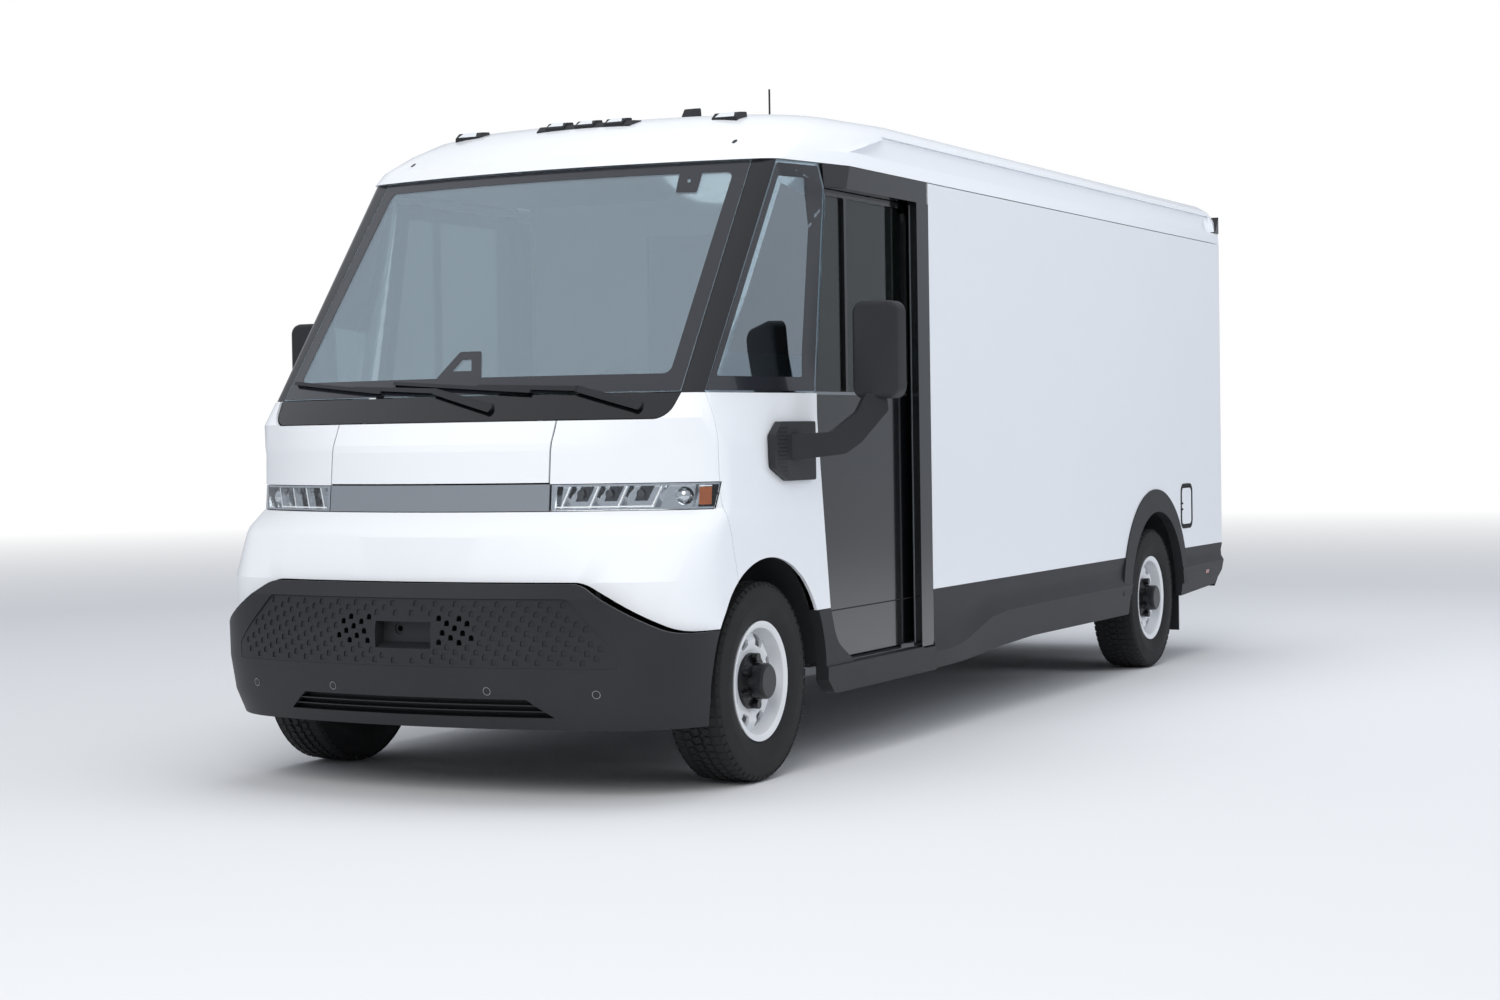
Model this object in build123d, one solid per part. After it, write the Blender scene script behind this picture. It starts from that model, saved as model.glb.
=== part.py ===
from build123d import *
import math
import os

os.makedirs("parts", exist_ok=True)

# Electric delivery van. X runs to the van's left, which is the driver's side, Y to the rear, Z up.
# The origin is on the ground, midway between the front and rear ends. All sizes are in millimetres.

# Driving sizes of the whole van
wheelbase = 4660.0
front_axle_y = -2520.0
tyre_radius = 370.0
tyre_width = 225.0
body_half = 1030.0
reach = body_half + 200.0
body_rear_y = 3328.0
rear_end_y = 3390.0
box_front_y = -985.0
side_bottom_z = 612.0
side_top_z = 2310.0
roof_top_z = 2552.0
floor_top_z = 700.0
floor_thick = 60.0
seam = 4.0
seat_gap = 0.3

# Heights of the nose, from the ground
cowl_bottom_z = 1337.0
belt_z = 1426.0
lamp_top_z = 1110.0
lamp_bottom_z = 1012.0
bumper_bottom_z = 245.0
screen_top_z = 2312.0

# Walls
nose_wall = 12.0
glass_wall = 10.0
skin_thick = 30.0
wall_thick = 70.0
roof_wall = 42.0

# Wheels, steering and arches
rim_flange_radius = 220.5
rim_half_width = 97.5
wheel_inset = 145.0
kingpin_inset = 290.0
cladding_depth = 44.0
arch_radius = 454.0
liner_radius = 470.0
liner_thick = 8.0
rear_arch_radius = 458.0
rear_arch_shift = -25.0
flare_radius = 554.0
flare_shift = -55.0
flare_rise = 23.0

# Sliding doors
door_inset = 60.0
door_thick = 34.0
door_bottom_z = 396.0
door_top_z = 2238.0
door_rear_y = -925.0
door_travel = 860.0
pocket_liner_inset = 130.0
pocket_liner_thick = 15.0
jamb_width = 125.0
header_bottom_z = 2222.0
sill_top_z = 380.0

# Worked out from the sizes above
wheel_centre_x = body_half - wheel_inset
kingpin_x = body_half - kingpin_inset
cladding_inner_x = body_half - cladding_depth
door_outer_x = body_half - door_inset
pocket_liner_x = body_half - pocket_liner_inset
rear_axle_y = front_axle_y + wheelbase
rear_arch_y = rear_axle_y + rear_arch_shift
flare_y = rear_axle_y + flare_shift
hub_z = tyre_radius
door_inner_x = door_outer_x - door_thick
pocket_end_y = door_rear_y + door_travel + 25.0
pocket_outer_x = body_half - skin_thick
wall_inner_x = body_half - wall_thick
floor_bottom_z = floor_top_z - floor_thick
jamb_front_y = box_front_y - jamb_width


def block(x0, x1, y0, y1, z0, z1):
    """Rectangular solid between two corners."""
    return Pos((x0 + x1) / 2, (y0 + y1) / 2, (z0 + z1) / 2) * Box(abs(x1 - x0), abs(y1 - y0), abs(z1 - z0))


def outline(points):
    """Closed flat face through (a, b) points; a third value rounds that corner."""
    corners = [(point[0], point[1]) for point in points]
    radii = [point[2] if len(point) > 2 else 0.0 for point in points]
    return make_face(FilletPolyline(*corners, radius=radii, close=True))


def along_x(points, x0, x1):
    """Side-view outline, as (y, z), run across the van."""
    return extrude(Plane.YZ.offset(x0) * outline(points), x1 - x0, dir=(1, 0, 0))


def along_y(points, y0, y1):
    """Front-view outline, as (x, z), run along the van."""
    return extrude(Plane.XZ.offset(-y0) * outline(points), y1 - y0, dir=(0, 1, 0))


def along_z(points, z0, z1):
    """Plan outline, as (x, y), run upwards."""
    return extrude(Plane.XY.offset(z0) * outline(points), z1 - z0, dir=(0, 0, 1))


def rod_x(radius, x0, x1, y, z):
    """Round bar across the van."""
    return Pos((x0 + x1) / 2, y, z) * Rot(0, 90, 0) * Cylinder(radius, abs(x1 - x0))


def rod_y(radius, x, y0, y1, z):
    """Round bar along the van."""
    return Pos(x, (y0 + y1) / 2, z) * Rot(90, 0, 0) * Cylinder(radius, abs(y1 - y0))


def rod_z(radius, x, y, z0, z1):
    """Upright round bar."""
    return Pos(x, y, (z0 + z1) / 2) * Cylinder(radius, abs(z1 - z0))


def both_sides(solid):
    """The left-hand solid and its mirror image on the right."""
    return [solid, mirror(solid, about=Plane.YZ)]


def write(name, *shapes):
    """Write one node, whose solids may be several."""
    solids = [solid for shape in shapes for solid in shape.solids()]
    export_step(solids[0] if len(solids) == 1 else Compound(solids), f"parts/{name}.step")


def plan_wire(level, inset, rear_y):
    """Level outline of the cab: bowed nose, round corners, tapering sides and a straight rear."""
    z, nose_y, nose_radius, corner, x_front, x_back, y_back = level
    nose_y = nose_y + inset
    nose_radius = nose_radius - inset
    corner = max(corner - inset, 20.0)
    x_front = x_front - inset
    x_back = x_back - inset
    slope = (x_back - x_front) / (y_back - nose_y)
    length = math.hypot(1.0, slope)
    shift = x_front - corner * length
    a = 1.0 + slope * slope
    b = shift * slope - nose_radius
    c = shift * shift + nose_radius ** 2 - (nose_radius - corner) ** 2
    v = (-b - math.sqrt(b * b - a * c)) / a
    centre = Vector(shift + slope * v, nose_y + v, z)
    bow_centre = Vector(0, nose_y + nose_radius, z)
    bow_out = (centre - bow_centre).normalized()
    side_out = Vector(1.0 / length, -slope / length, 0)
    bow_end = bow_centre + bow_out * nose_radius
    side_start = centre + side_out * corner
    corner_mid = centre + (bow_out + side_out).normalized() * corner

    def flip(point):
        return Vector(-point.X, point.Y, point.Z)

    taper_end = Vector(x_back, y_back, z)
    rear_corner = Vector(x_back, rear_y, z)
    edges = [
        ThreePointArc(flip(bow_end), Vector(0, nose_y, z), bow_end),
        ThreePointArc(bow_end, corner_mid, side_start),
        Line(side_start, taper_end),
        Line(taper_end, rear_corner),
        Line(rear_corner, flip(rear_corner)),
        Line(flip(rear_corner), flip(taper_end)),
        Line(flip(taper_end), flip(side_start)),
        ThreePointArc(flip(side_start), flip(corner_mid), flip(bow_end)),
    ]
    return Wire([edge.edge() for edge in edges])


def plan_loft(levels, inset, rear_y):
    """Solid through the level outlines, with straight walls from each level to the next."""
    return Part() + Solid.make_loft([plan_wire(level, inset, rear_y) for level in levels], True)


# Level outlines: height, nose y, nose radius, corner radius, half width at the nose, half width
# behind the taper and the y where the taper ends.
nose_levels = [
    (300.0, -3325.0, 3000.0, 320.0, body_half - 15, body_half, -2119.0),
    (770.0, -3305.0, 3000.0, 300.0, body_half - 18, body_half, -2119.0),
    (925.0, -3290.0, 2000.0, 260.0, body_half - 22, body_half, -2119.0),
    (950.0, -3279.0, 1900.0, 240.0, body_half - 26, body_half, -2119.0),
    (1008.0, -3228.0, 1640.0, 200.0, body_half - 34, body_half, -2119.0),
    (1016.0, -3224.0, 1600.0, 190.0, body_half - 35, body_half, -2119.0),
    (1110.0, -3214.0, 1600.0, 180.0, body_half - 38, body_half, -2119.0),
    (1228.0, -3200.0, 1660.0, 180.0, body_half - 45, body_half, -2119.0),
    (1254.0, -3190.0, 1760.0, 175.0, body_half - 52, body_half, -2119.0),
    (cowl_bottom_z, -3130.0, 2455.0, 150.0, body_half - 82, body_half, -2119.0),
    (belt_z, -3056.0, 2600.0, 110.0, body_half - 113, body_half, -2119.0),
]
cab_levels = [
    (cowl_bottom_z, -3117.0, 2455.0, 110.0, body_half - 125, body_half, -2119.0),
    (belt_z, -3044.0, 2600.0, 100.0, body_half - 115, body_half, -2119.0),
    (screen_top_z, -2320.0, 3470.0, 100.0, body_half - 105, body_half, -1775.0),
]
bumper_levels = [
    (bumper_bottom_z, -3310.0, 2900.0, 300.0, body_half - 30, body_half - 4, -2119.0),
    (345.0, -3360.0, 2900.0, 320.0, body_half - 18, body_half + 2, -2119.0),
    (475.0, -3386.0, 2900.0, 330.0, body_half - 10, body_half + 4, -2119.0),
    (600.0, -3390.0, 2900.0, 330.0, body_half - 8, body_half + 4, -2119.0),
    (715.0, -3372.0, 3000.0, 330.0, body_half - 10, body_half + 4, -2119.0),
    (775.0, -3322.0, 3400.0, 330.0, body_half - 14, body_half + 4, -2119.0),
]
roof_levels = [
    (side_top_z + 4.0, -2336.0, 3400.0, 110.0, body_half - 95, body_half, -1775.0),
    (2366.0, -2304.0, 3200.0, 140.0, body_half - 100, body_half - 4, -1700.0),
    (2440.0, -2185.0, 2800.0, 220.0, body_half - 125, body_half - 24, -1500.0),
    (2500.0, -2065.0, 2500.0, 300.0, body_half - 165, body_half - 68, -1300.0),
    (2535.0, -1945.0, 2200.0, 340.0, body_half - 215, body_half - 130, -1150.0),
    (roof_top_z, -1790.0, 2000.0, 380.0, body_half - 285, body_half - 194, -1000.0),
]

# Shells of the nose, the glasshouse and the bumper
inner_rear_y = 0.0
nose_solid = plan_loft(nose_levels, 0.0, -1900.0)
nose_inner = plan_loft(nose_levels, nose_wall, inner_rear_y)
nose_space = plan_loft(nose_levels, nose_wall + seat_gap, inner_rear_y)
nose_shell = nose_solid - nose_inner
cab_shell = plan_loft(cab_levels, 0.0, -1000.0) - plan_loft(cab_levels, glass_wall, inner_rear_y)
cab_space = plan_loft(cab_levels, glass_wall + seat_gap, inner_rear_y)
bumper_shell = plan_loft(bumper_levels, 0.0, -1900.0) - plan_loft(bumper_levels, nose_wall, inner_rear_y)
bumper_space = plan_loft(bumper_levels, nose_wall + seat_gap, inner_rear_y)

front_arch = rod_x(arch_radius, -reach, reach, front_axle_y, hub_z)


# White nose panels
hood_half = 470.0
cowl_half = body_half - 158.0
lamp_tip_y = -2800.0
fender_seam = [(-2845.0, 1500.0), (-2845.0, 1050.0, 200.0), (-2755.0, 700.0), (-2755.0, 500.0)]
bumper_edge = [(0.0, 770.0), (body_half - 375, 770.0, 130.0), (body_half - 45, 596.0, 120.0), (reach, 596.0)]
fender_rear_edge = [(-2108.0, 1500.0), (-2108.0, 1330.0, 400.0), (-2016.0, 640.0, 300.0), (-2010.0, 500.0)]


def ahead_of_seam(offset):
    """Everything forward of the fender seam, moved rearwards by offset."""
    line = [(point[0] + offset, *point[1:]) for point in fender_seam]
    return along_x([(-3600.0, 1500.0)] + line + [(-3600.0, 500.0)], -reach, reach)


def below_bumper_edge(offset):
    """Front-view area under the bumper's top edge, raised by offset, over both sides."""
    right = [(point[0], point[1] + offset, *point[2:]) for point in bumper_edge[1:]]
    left = [(-point[0], *point[1:]) for point in reversed(right)]
    return along_y([(-reach, 0.0)] + left + right + [(reach, 0.0)], -3600, -2700)


def cowl_area(offset):
    """Front-view area of the black cowl band, grown sideways by offset."""
    half = cowl_half + offset
    foot = cowl_bottom_z - offset
    return along_y(
        [(-half, belt_z + 1), (-half + 20, foot, 60.0), (half - 20, foot, 60.0), (half, belt_z + 1)],
        -3400, -2600)


lamp_band = along_x(
    [(-3600.0, lamp_top_z), (lamp_tip_y - 30.0, lamp_top_z), (lamp_tip_y - 60.0, lamp_bottom_z),
     (-3600.0, lamp_bottom_z)], -reach, reach)
hood_area = block(-hood_half - seam / 2, hood_half + seam / 2, -3600, -2900, lamp_top_z - 1, belt_z)

white_front = (nose_shell & ahead_of_seam(0.0)) - front_arch - lamp_band - below_bumper_edge(0.0)
white_front = white_front - cowl_area(seam) - hood_area
write("front_fascia", white_front)

fender_zone = along_x(
    [(-3600.0, belt_z)] + fender_rear_edge[1:3] + [(-2010.0, side_bottom_z - 8.0), (-3600.0, side_bottom_z - 8.0)],
    -reach, reach) - ahead_of_seam(seam)
fenders = (nose_shell & fender_zone) - front_arch - lamp_band
write("fenders", fenders)

# Hood panel with its two swan-neck hinge arms
hood_wall = 8.0
hood_axis_y = -3045.0
hood_axis_z = 1330.0
hood_top_z = cowl_bottom_z - seam
hood_foot_z = lamp_top_z + 5.0
hood_arm_x = 380.0
hood_arm_drop = 78.0
hood_inner = plan_loft(nose_levels, hood_wall, inner_rear_y)
hood = (nose_solid - hood_inner) & block(-hood_half + 4, hood_half - 4, -3600, -2900, hood_foot_z, hood_top_z)
hood_pin_radius = 8.0
for side in (-1, 1):
    arm = along_x(
        [(hood_axis_y - 9, hood_axis_z + 14), (hood_axis_y + 9, hood_axis_z + 14),
         (hood_axis_y + 9, hood_axis_z - hood_arm_drop - 9), (-3195.0, hood_axis_z - hood_arm_drop - 9),
         (-3195.0, hood_axis_z - hood_arm_drop + 9), (hood_axis_y - 9, hood_axis_z - hood_arm_drop + 9)],
        side * hood_arm_x - 10, side * hood_arm_x + 10)
    arm = arm - rod_x(hood_pin_radius + seat_gap, side * hood_arm_x - 20, side * hood_arm_x + 20,
                      hood_axis_y, hood_axis_z)
    hood = hood + (arm & hood_inner)
write("hood", hood)

# Black cowl band under the windscreen
cowl = cab_shell & (cowl_area(0.0) & block(-reach, reach, -3400, -2600, cowl_bottom_z, belt_z + 4.0))
write("cowl_panel", cowl)

# Windscreen
screen_bottom_z = belt_z + 4.0
screen_foot_half = body_half - 162.0
screen_head_half = body_half - 202.0


def screen_outline(offset):
    """Front-view area of the windscreen, grown sideways by offset."""
    foot = screen_foot_half + offset
    head = screen_head_half + offset
    return along_y([(-foot, screen_bottom_z - 2.0), (foot, screen_bottom_z - 2.0), (head, screen_top_z),
                    (-head, screen_top_z)], -3200, -2100)


windshield = (cab_shell & screen_outline(0.0)) - block(-reach, reach, -3400, -2600, cowl_bottom_z, screen_bottom_z)
write("windshield", windshield)

# Black pillar trims, door headers and door jambs
trim_foot_z = belt_z + 2.0
pillar_line = [(-2838.0, trim_foot_z), (-2150.0, screen_top_z)]
pillar_zone = along_x(
    [(-3600.0, trim_foot_z), pillar_line[0], pillar_line[1], (-3600.0, screen_top_z)], -reach, reach)
pillar_trims = (cab_shell & pillar_zone) - screen_outline(2.0)

portal_front = [(-2118.0, trim_foot_z), (-1930.0, screen_top_z)]
header_left = (cab_shell & along_x(
    [(portal_front[1][0] - 20.0, header_bottom_z), (box_front_y, header_bottom_z), (box_front_y, screen_top_z),
     (portal_front[1][0], screen_top_z)], screen_head_half, reach))
header_beam = block(door_outer_x + 12, body_half - glass_wall, -1925, box_front_y, header_bottom_z, screen_top_z)
jamb_left = block(pocket_outer_x - 8, body_half, jamb_front_y, box_front_y, sill_top_z, header_bottom_z)
portal_left = header_left + header_beam + jamb_left
write("cab_trim", pillar_trims, *both_sides(portal_left))

# Fixed quarter glass between the pillar trim and the sliding door
quarter_zone = along_x(
    [(pillar_line[0][0] + 1.5, trim_foot_z), (portal_front[0][0], trim_foot_z),
     (portal_front[1][0] - 22.0, header_bottom_z - 2), (portal_front[1][0] - 22.0, screen_top_z),
     (pillar_line[1][0] + 1.5, screen_top_z)], -reach, reach)
quarter_glass = cab_shell & quarter_zone
write("quarter_glass", quarter_glass)

# Roof cap
roof_solid = plan_loft(roof_levels, 0.0, body_rear_y)
inner_levels = [(level[0] - roof_wall * 0.9, *level[1:]) for level in roof_levels]
roof = roof_solid - plan_loft(inner_levels, roof_wall, body_rear_y - roof_wall)
scallop = along_y(
    [(body_half - 27.0, 2372.0), (reach, 2372.0), (reach, 2470.0), (body_half - 57.0, 2470.0)],
    -1750.0, body_rear_y - 60.0)
scallop = scallop - along_x(
    [(-1800.0, 2300.0), (-1740.0, 2372.0), (-1360.0, 2460.0), (-1340.0, 2600.0), (-1800.0, 2600.0)], wall_inner_x - 60, reach)
for cut in both_sides(scallop):
    roof = roof - cut
write("roof", roof)

# Lamps on the roof, the fin and the whip mast
marker_z = 2508.0
lamps = [Pos(x, -1945, 2535) * Box(110, 60, 30) for x in (-595, 595)]
lamps.append(Pos(0, -1990, 2525) * Box(380, 60, 30))
fin = along_x([(-1600, 2545), (-1540, 2620, 20), (-1470, 2630, 10), (-1460, 2545)], 180, 220)
mast = rod_z(4.0, 380, -1150, roof_top_z, roof_top_z + 180)
foot = rod_z(16.0, 380, -1150, roof_top_z, roof_top_z + 14)
write("roof_lamps", *[lamp - roof_solid for lamp in lamps], fin - roof_solid, mast + foot)

# Side walls with the door pocket between the outer skin and the inner liner
charge_y = 2646.0
charge_z = 842.0
charge_length = 215.0
charge_height = 245.0


def side_panel(side):
    """White cargo side with the pocket space left behind its front part."""
    skin = block(pocket_outer_x, body_half, box_front_y, body_rear_y, side_bottom_z, side_top_z)
    deep = block(wall_inner_x, pocket_outer_x, pocket_end_y, body_rear_y - 60, side_bottom_z, side_top_z)
    panel = skin + deep - rod_x(flare_radius + 1, 0, reach, flare_y, hub_z + flare_rise)
    if side > 0:
        panel = panel - along_x(
            rounded(charge_y, charge_z, charge_length + 1, charge_height + 1, 50.0), wall_inner_x - 60, reach)
        return panel
    return mirror(panel, about=Plane.YZ)


def rounded(a, b, width, height, corner):
    """Corners of a rounded rectangle about (a, b)."""
    return [(a - width / 2, b - height / 2, corner), (a + width / 2, b - height / 2, corner),
            (a + width / 2, b + height / 2, corner), (a - width / 2, b + height / 2, corner)]


write("side_panel_left", side_panel(1))
write("side_panel_right", side_panel(-1))

track_z = door_top_z + 24.0
liner = block(pocket_liner_x, pocket_liner_x + pocket_liner_thick, box_front_y, pocket_end_y + 15,
              sill_top_z, side_top_z)
liner = liner + block(pocket_liner_x, wall_inner_x, pocket_end_y, pocket_end_y + 15, sill_top_z, side_top_z)
track = block(pocket_liner_x, door_outer_x, -1990, pocket_end_y, track_z, track_z + 16)
liner = liner + track
write("pocket_liners", *both_sides(liner))

# Floor with a raised cargo deck, and the two step wells let into it
well_inner_x = body_half - 330.0
well_outer_x = door_inner_x - 10.0
well_front_y = -1985.0
well_rear_y = -1090.0
well_wall = 10.0
floor_half = pocket_liner_x - 10.0
floor_rear_y = 3250.0
deck_rise = 6.0
axle_room = 490.0
floor = block(-floor_half, floor_half, -2030, floor_rear_y, floor_bottom_z, floor_top_z)
floor = floor + block(-535, 535, -2940, -2030, floor_bottom_z, floor_top_z)
floor = floor + block(-wall_inner_x, wall_inner_x, pocket_end_y + 15, floor_rear_y, floor_bottom_z, floor_top_z)
floor = floor + block(-floor_half + 20, floor_half - 20, box_front_y + 60, floor_rear_y - 10,
                      floor_top_z, floor_top_z + deck_rise)
wells = []
for side in (-1, 1):
    room = block(side * (well_inner_x - seat_gap), side * reach, well_front_y - seat_gap, well_rear_y + seat_gap,
                 0, floor_top_z + 10)
    floor = floor - room
    floor = floor - block(side * (wheel_centre_x - 140), side * reach, rear_axle_y - axle_room,
                          rear_axle_y + axle_room, 0, floor_top_z + 20)
    well = block(side * well_inner_x, side * well_outer_x, well_front_y, well_rear_y, sill_top_z - 10, floor_top_z)
    well_space = block(side * (well_inner_x + well_wall), side * reach, well_front_y + well_wall,
                       well_rear_y - well_wall, sill_top_z, floor_top_z + 10)
    wells.append(well - well_space)
write("floor", floor)
write("step_wells", *wells)

# Frame rails and crossmembers, and the battery pack below them
rail_inner_x = 450.0
rail_width = 80.0
rail_bottom_z = 480.0
lift_pad_y = -1950.0
cross_rows = [-2900.0, -1950.0, -1000.0, 0.0, 1000.0, 1640.0, 2640.0, 3200.0]
frame = None
for side in (-1, 1):
    rail = block(side * rail_inner_x, side * (rail_inner_x + rail_width), -3400, 3270, rail_bottom_z, floor_bottom_z)
    rail = rail & (bumper_space + block(-900, 900, -3000, 3400, 0, 1000))
    frame = rail if frame is None else frame + rail
for row in cross_rows:
    frame = frame + block(-rail_inner_x, rail_inner_x, row - 30, row + 30, rail_bottom_z + 30, floor_bottom_z - 20)
tow_x = -48.0
tow_z = 604.0
tow_bore = 11.0
tow_mouth_y = -3326.0
beam_front_y = -3240.0
for side in (-1, 1):
    frame = frame + block(side * rail_inner_x, side * (rail_inner_x + rail_width), lift_pad_y - 50, lift_pad_y + 50,
                          rail_bottom_z - 10, rail_bottom_z)
frame = frame + block(-640, 640, beam_front_y, beam_front_y + 50, 500, floor_bottom_z - 6)
frame = frame + rod_y(20.0, tow_x, tow_mouth_y, beam_front_y + 10, tow_z)
frame = frame - rod_y(tow_bore, tow_x, tow_mouth_y - 10, tow_mouth_y + 60, tow_z)
write("chassis_frame", frame)
battery = block(-640, 640, -1800, 1480, 275, rail_bottom_z)
write("battery_pack", battery)

# Cab frame: firewall, ribs that carry the nose panels, and the door pillars
lamp_depth = 60.0
bar_depth = 14.0
lamp_space = plan_loft(nose_levels, lamp_depth + seat_gap, inner_rear_y)
bar_space = plan_loft(nose_levels, bar_depth + seat_gap, inner_rear_y)
firewall = block(-reach, reach, -2985, -2970, floor_bottom_z, cowl_bottom_z - 12) & nose_space
cab_frame = firewall
for x, space in ((-700.0, lamp_space), (-300.0, bar_space), (300.0, bar_space), (700.0, lamp_space)):
    rib = block(x - 8, x + 8, -3400, -2972, floor_bottom_z + 10, lamp_bottom_z - 4) & nose_space
    rib = rib + (block(x - 8, x + 8, -3400, -2972, floor_bottom_z + 10, lamp_top_z + 2) & space)
    cab_frame = cab_frame + rib
for x in (-700.0, 700.0):
    cab_frame = cab_frame + (block(x - 8, x + 8, -3400, -2972, lamp_top_z + 2, cowl_bottom_z - 12) & nose_space)
for side in (-1, 1):
    cab_frame = cab_frame + rod_x(hood_pin_radius, side * (hood_arm_x - 24), side * (hood_arm_x + 24),
                                  hood_axis_y, hood_axis_z)
    for x in (side * (hood_arm_x - 20), side * (hood_arm_x + 20)):
        cab_frame = cab_frame + block(x - 5, x + 5, hood_axis_y - 12, -2972, hood_axis_z - 18, hood_axis_z + 12)
pillar_y = -2172.0
pillar_inner_x = body_half - 270.0
for side in (-1, 1):
    post = block(side * pillar_inner_x, side * reach, pillar_y, pillar_y + 16, 850, belt_z - 6) & nose_space
    sill_beam = block(side * pillar_inner_x, side * (pillar_inner_x + 35), -2975, pillar_y + 16, 1180, 1240)
    cab_frame = cab_frame + post + sill_beam
lamp_room = block(-reach, reach, -3400, -2700, lamp_bottom_z, lamp_top_z) - lamp_space
cab_frame = cab_frame - (lamp_room - block(-hood_half - 3, hood_half + 3, -3500, -2600, 0, 2000))
write("cab_frame", cab_frame)

# Front bumper
slot = block(-560, 560, -3500, -3250, 300, 345)
bumper = (bumper_shell & below_bumper_edge(-seam)) - rod_x(
    arch_radius + 8, -reach, reach, front_axle_y, hub_z)
bumper = (bumper & block(-reach, reach, -3600, -2800, 0, 1000)) - slot
tow_half = 120.0
tow_box = block(-tow_half, tow_half, -3400, -3330, 535, 632)
tow_pocket = block(-tow_half - 8, tow_half + 8, -3372, -3322, 527, 640) - block(
    -tow_half, tow_half, -3400, -3330, 535, 632)
bumper = bumper - tow_box + (tow_pocket & plan_loft(bumper_levels, nose_wall / 2, inner_rear_y))
bumper = bumper - rod_y(21.0, tow_x, -3400, -3300, tow_z)
write("front_bumper", bumper)

# Headlamps, their lenses and the bright bar between them
band_back = plan_loft(nose_levels, 60.0, inner_rear_y)
band_front = plan_loft(nose_levels, 10.0, inner_rear_y)
lens_outer = plan_loft(nose_levels, 2.0, -1900.0)
lamp_zone = along_x(
    [(-3600.0, lamp_top_z - 3), (lamp_tip_y - 33.0, lamp_top_z - 3), (lamp_tip_y - 63.0, lamp_bottom_z + 3),
     (-3600.0, lamp_bottom_z + 3)], hood_half + 4, reach)
housing = (band_front - band_back) & lamp_zone
lens = (lens_outer - plan_loft(nose_levels, 7.0, inner_rear_y)) & lamp_zone
write("headlamps", *both_sides(housing))
write("headlamp_lenses", *both_sides(lens))
bar_zone = block(-hood_half, hood_half, -3600, -2900, lamp_bottom_z + 3, lamp_top_z - 1)
write("light_bar", (lens_outer - plan_loft(nose_levels, 14.0, inner_rear_y)) & bar_zone)

# Wheel arch liners with their mud flaps
liner_outer_x = body_half - 45.0
front_liner_x = wheel_centre_x - 340.0
rear_liner_x = wheel_centre_x - 135.0
front_liner = rod_x(liner_radius + liner_thick, front_liner_x, liner_outer_x, front_axle_y, hub_z)
front_liner = front_liner - rod_x(liner_radius, front_liner_x - 10, reach, front_axle_y, hub_z)
front_liner = front_liner & block(front_liner_x - 10, reach, -3020, -2030, 390, 900)
front_liner = front_liner & nose_space
rear_liner = rod_x(liner_radius + liner_thick, rear_liner_x, liner_outer_x, rear_axle_y, hub_z)
rear_liner = rear_liner - rod_x(liner_radius, rear_liner_x - 10, reach, rear_axle_y, hub_z)
rear_liner = rear_liner + rod_x(liner_radius + 4, rear_liner_x, rear_liner_x + liner_thick, rear_axle_y, hub_z)
rear_liner = rear_liner & block(rear_liner_x - 10, reach, 1600, 2700, 430, 900)
flap = block(rear_liner_x + 10, liner_outer_x - 1, 2628, 2638, 160, 420)
write("wheel_liners", *both_sides(front_liner), *both_sides(rear_liner), *both_sides(flap))

# Side cladding with the rear wheel flare
cladding = along_x(
    [(-2126.0, side_bottom_z - 10), (-2012.0, side_bottom_z - 10), (-1960.0, 470.0, 150.0),
     (-1790.0, sill_top_z, 60.0), (jamb_front_y - 6, sill_top_z), (jamb_front_y - 6, sill_top_z - 6),
     (box_front_y, sill_top_z - 6), (box_front_y, side_bottom_z - 2), (body_rear_y, side_bottom_z - 2),
     (body_rear_y, 400.0, 40.0), (2700.0, 340.0), (300.0, 325.0), (-600.0, 275.0), (-2000.0, 275.0, 60.0),
     (-2126.0, 400.0)], cladding_inner_x, body_half + 2)
cladding = cladding - rod_x(rear_arch_radius, 0, reach, rear_arch_y, hub_z)
cladding = cladding - rod_x(liner_radius - 8, 0, reach, front_axle_y, hub_z)
flare = rod_x(flare_radius, cladding_inner_x, body_half + 6, flare_y, hub_z + flare_rise)
flare = flare - rod_x(rear_arch_radius, 0, reach, rear_arch_y, hub_z)
flare = flare & block(0, reach, 1000, 3200, 420, 1100)
cladding = cladding + flare
write("side_cladding", *both_sides(cladding))

# Sliding doors with their glass
window_sill_z = 1436.0
window_top_z = 2196.0
window_rear_y = -1085.0
divider_y = -1695.0
divider_width = 22.0
door_front = [(-1955.0, door_top_z), (-2140.0, 1440.0, 200.0), (-2130.0, 1150.0, 300.0), (-2034.0, 760.0, 200.0),
              (-2034.0, door_bottom_z)]
front_pane = [(-2078.0, window_sill_z, 30.0), (divider_y - divider_width / 2, window_sill_z, 8.0),
              (divider_y - divider_width / 2, window_top_z, 8.0), (-1915.0, window_top_z, 30.0)]
rear_pane = [(divider_y + divider_width / 2, window_sill_z, 8.0), (window_rear_y, window_sill_z, 50.0),
             (window_rear_y, window_top_z, 50.0), (divider_y + divider_width / 2, window_top_z, 8.0)]
door = along_x(door_front + [(door_rear_y, door_bottom_z), (door_rear_y, door_top_z)], door_inner_x, door_outer_x)
for pane in (front_pane, rear_pane):
    door = door - along_x(pane, door_inner_x - 5, door_outer_x + 5)
hanger_gap = seat_gap
for y in (-1850.0, -1100.0):
    door = door + block(door_inner_x + 8, door_outer_x - 8, y - 35, y + 35, door_top_z - 5, track_z - hanger_gap)
glass = [along_x(pane, door_inner_x + 12, door_inner_x + 22) for pane in (front_pane, rear_pane)]
for name, side in (("left", 1), ("right", -1)):
    shapes = (door, *glass) if side > 0 else [mirror(shape, about=Plane.YZ) for shape in (door, *glass)]
    write(f"door_{name}", shapes[0])
    write(f"door_glass_{name}", *shapes[1:])

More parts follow.
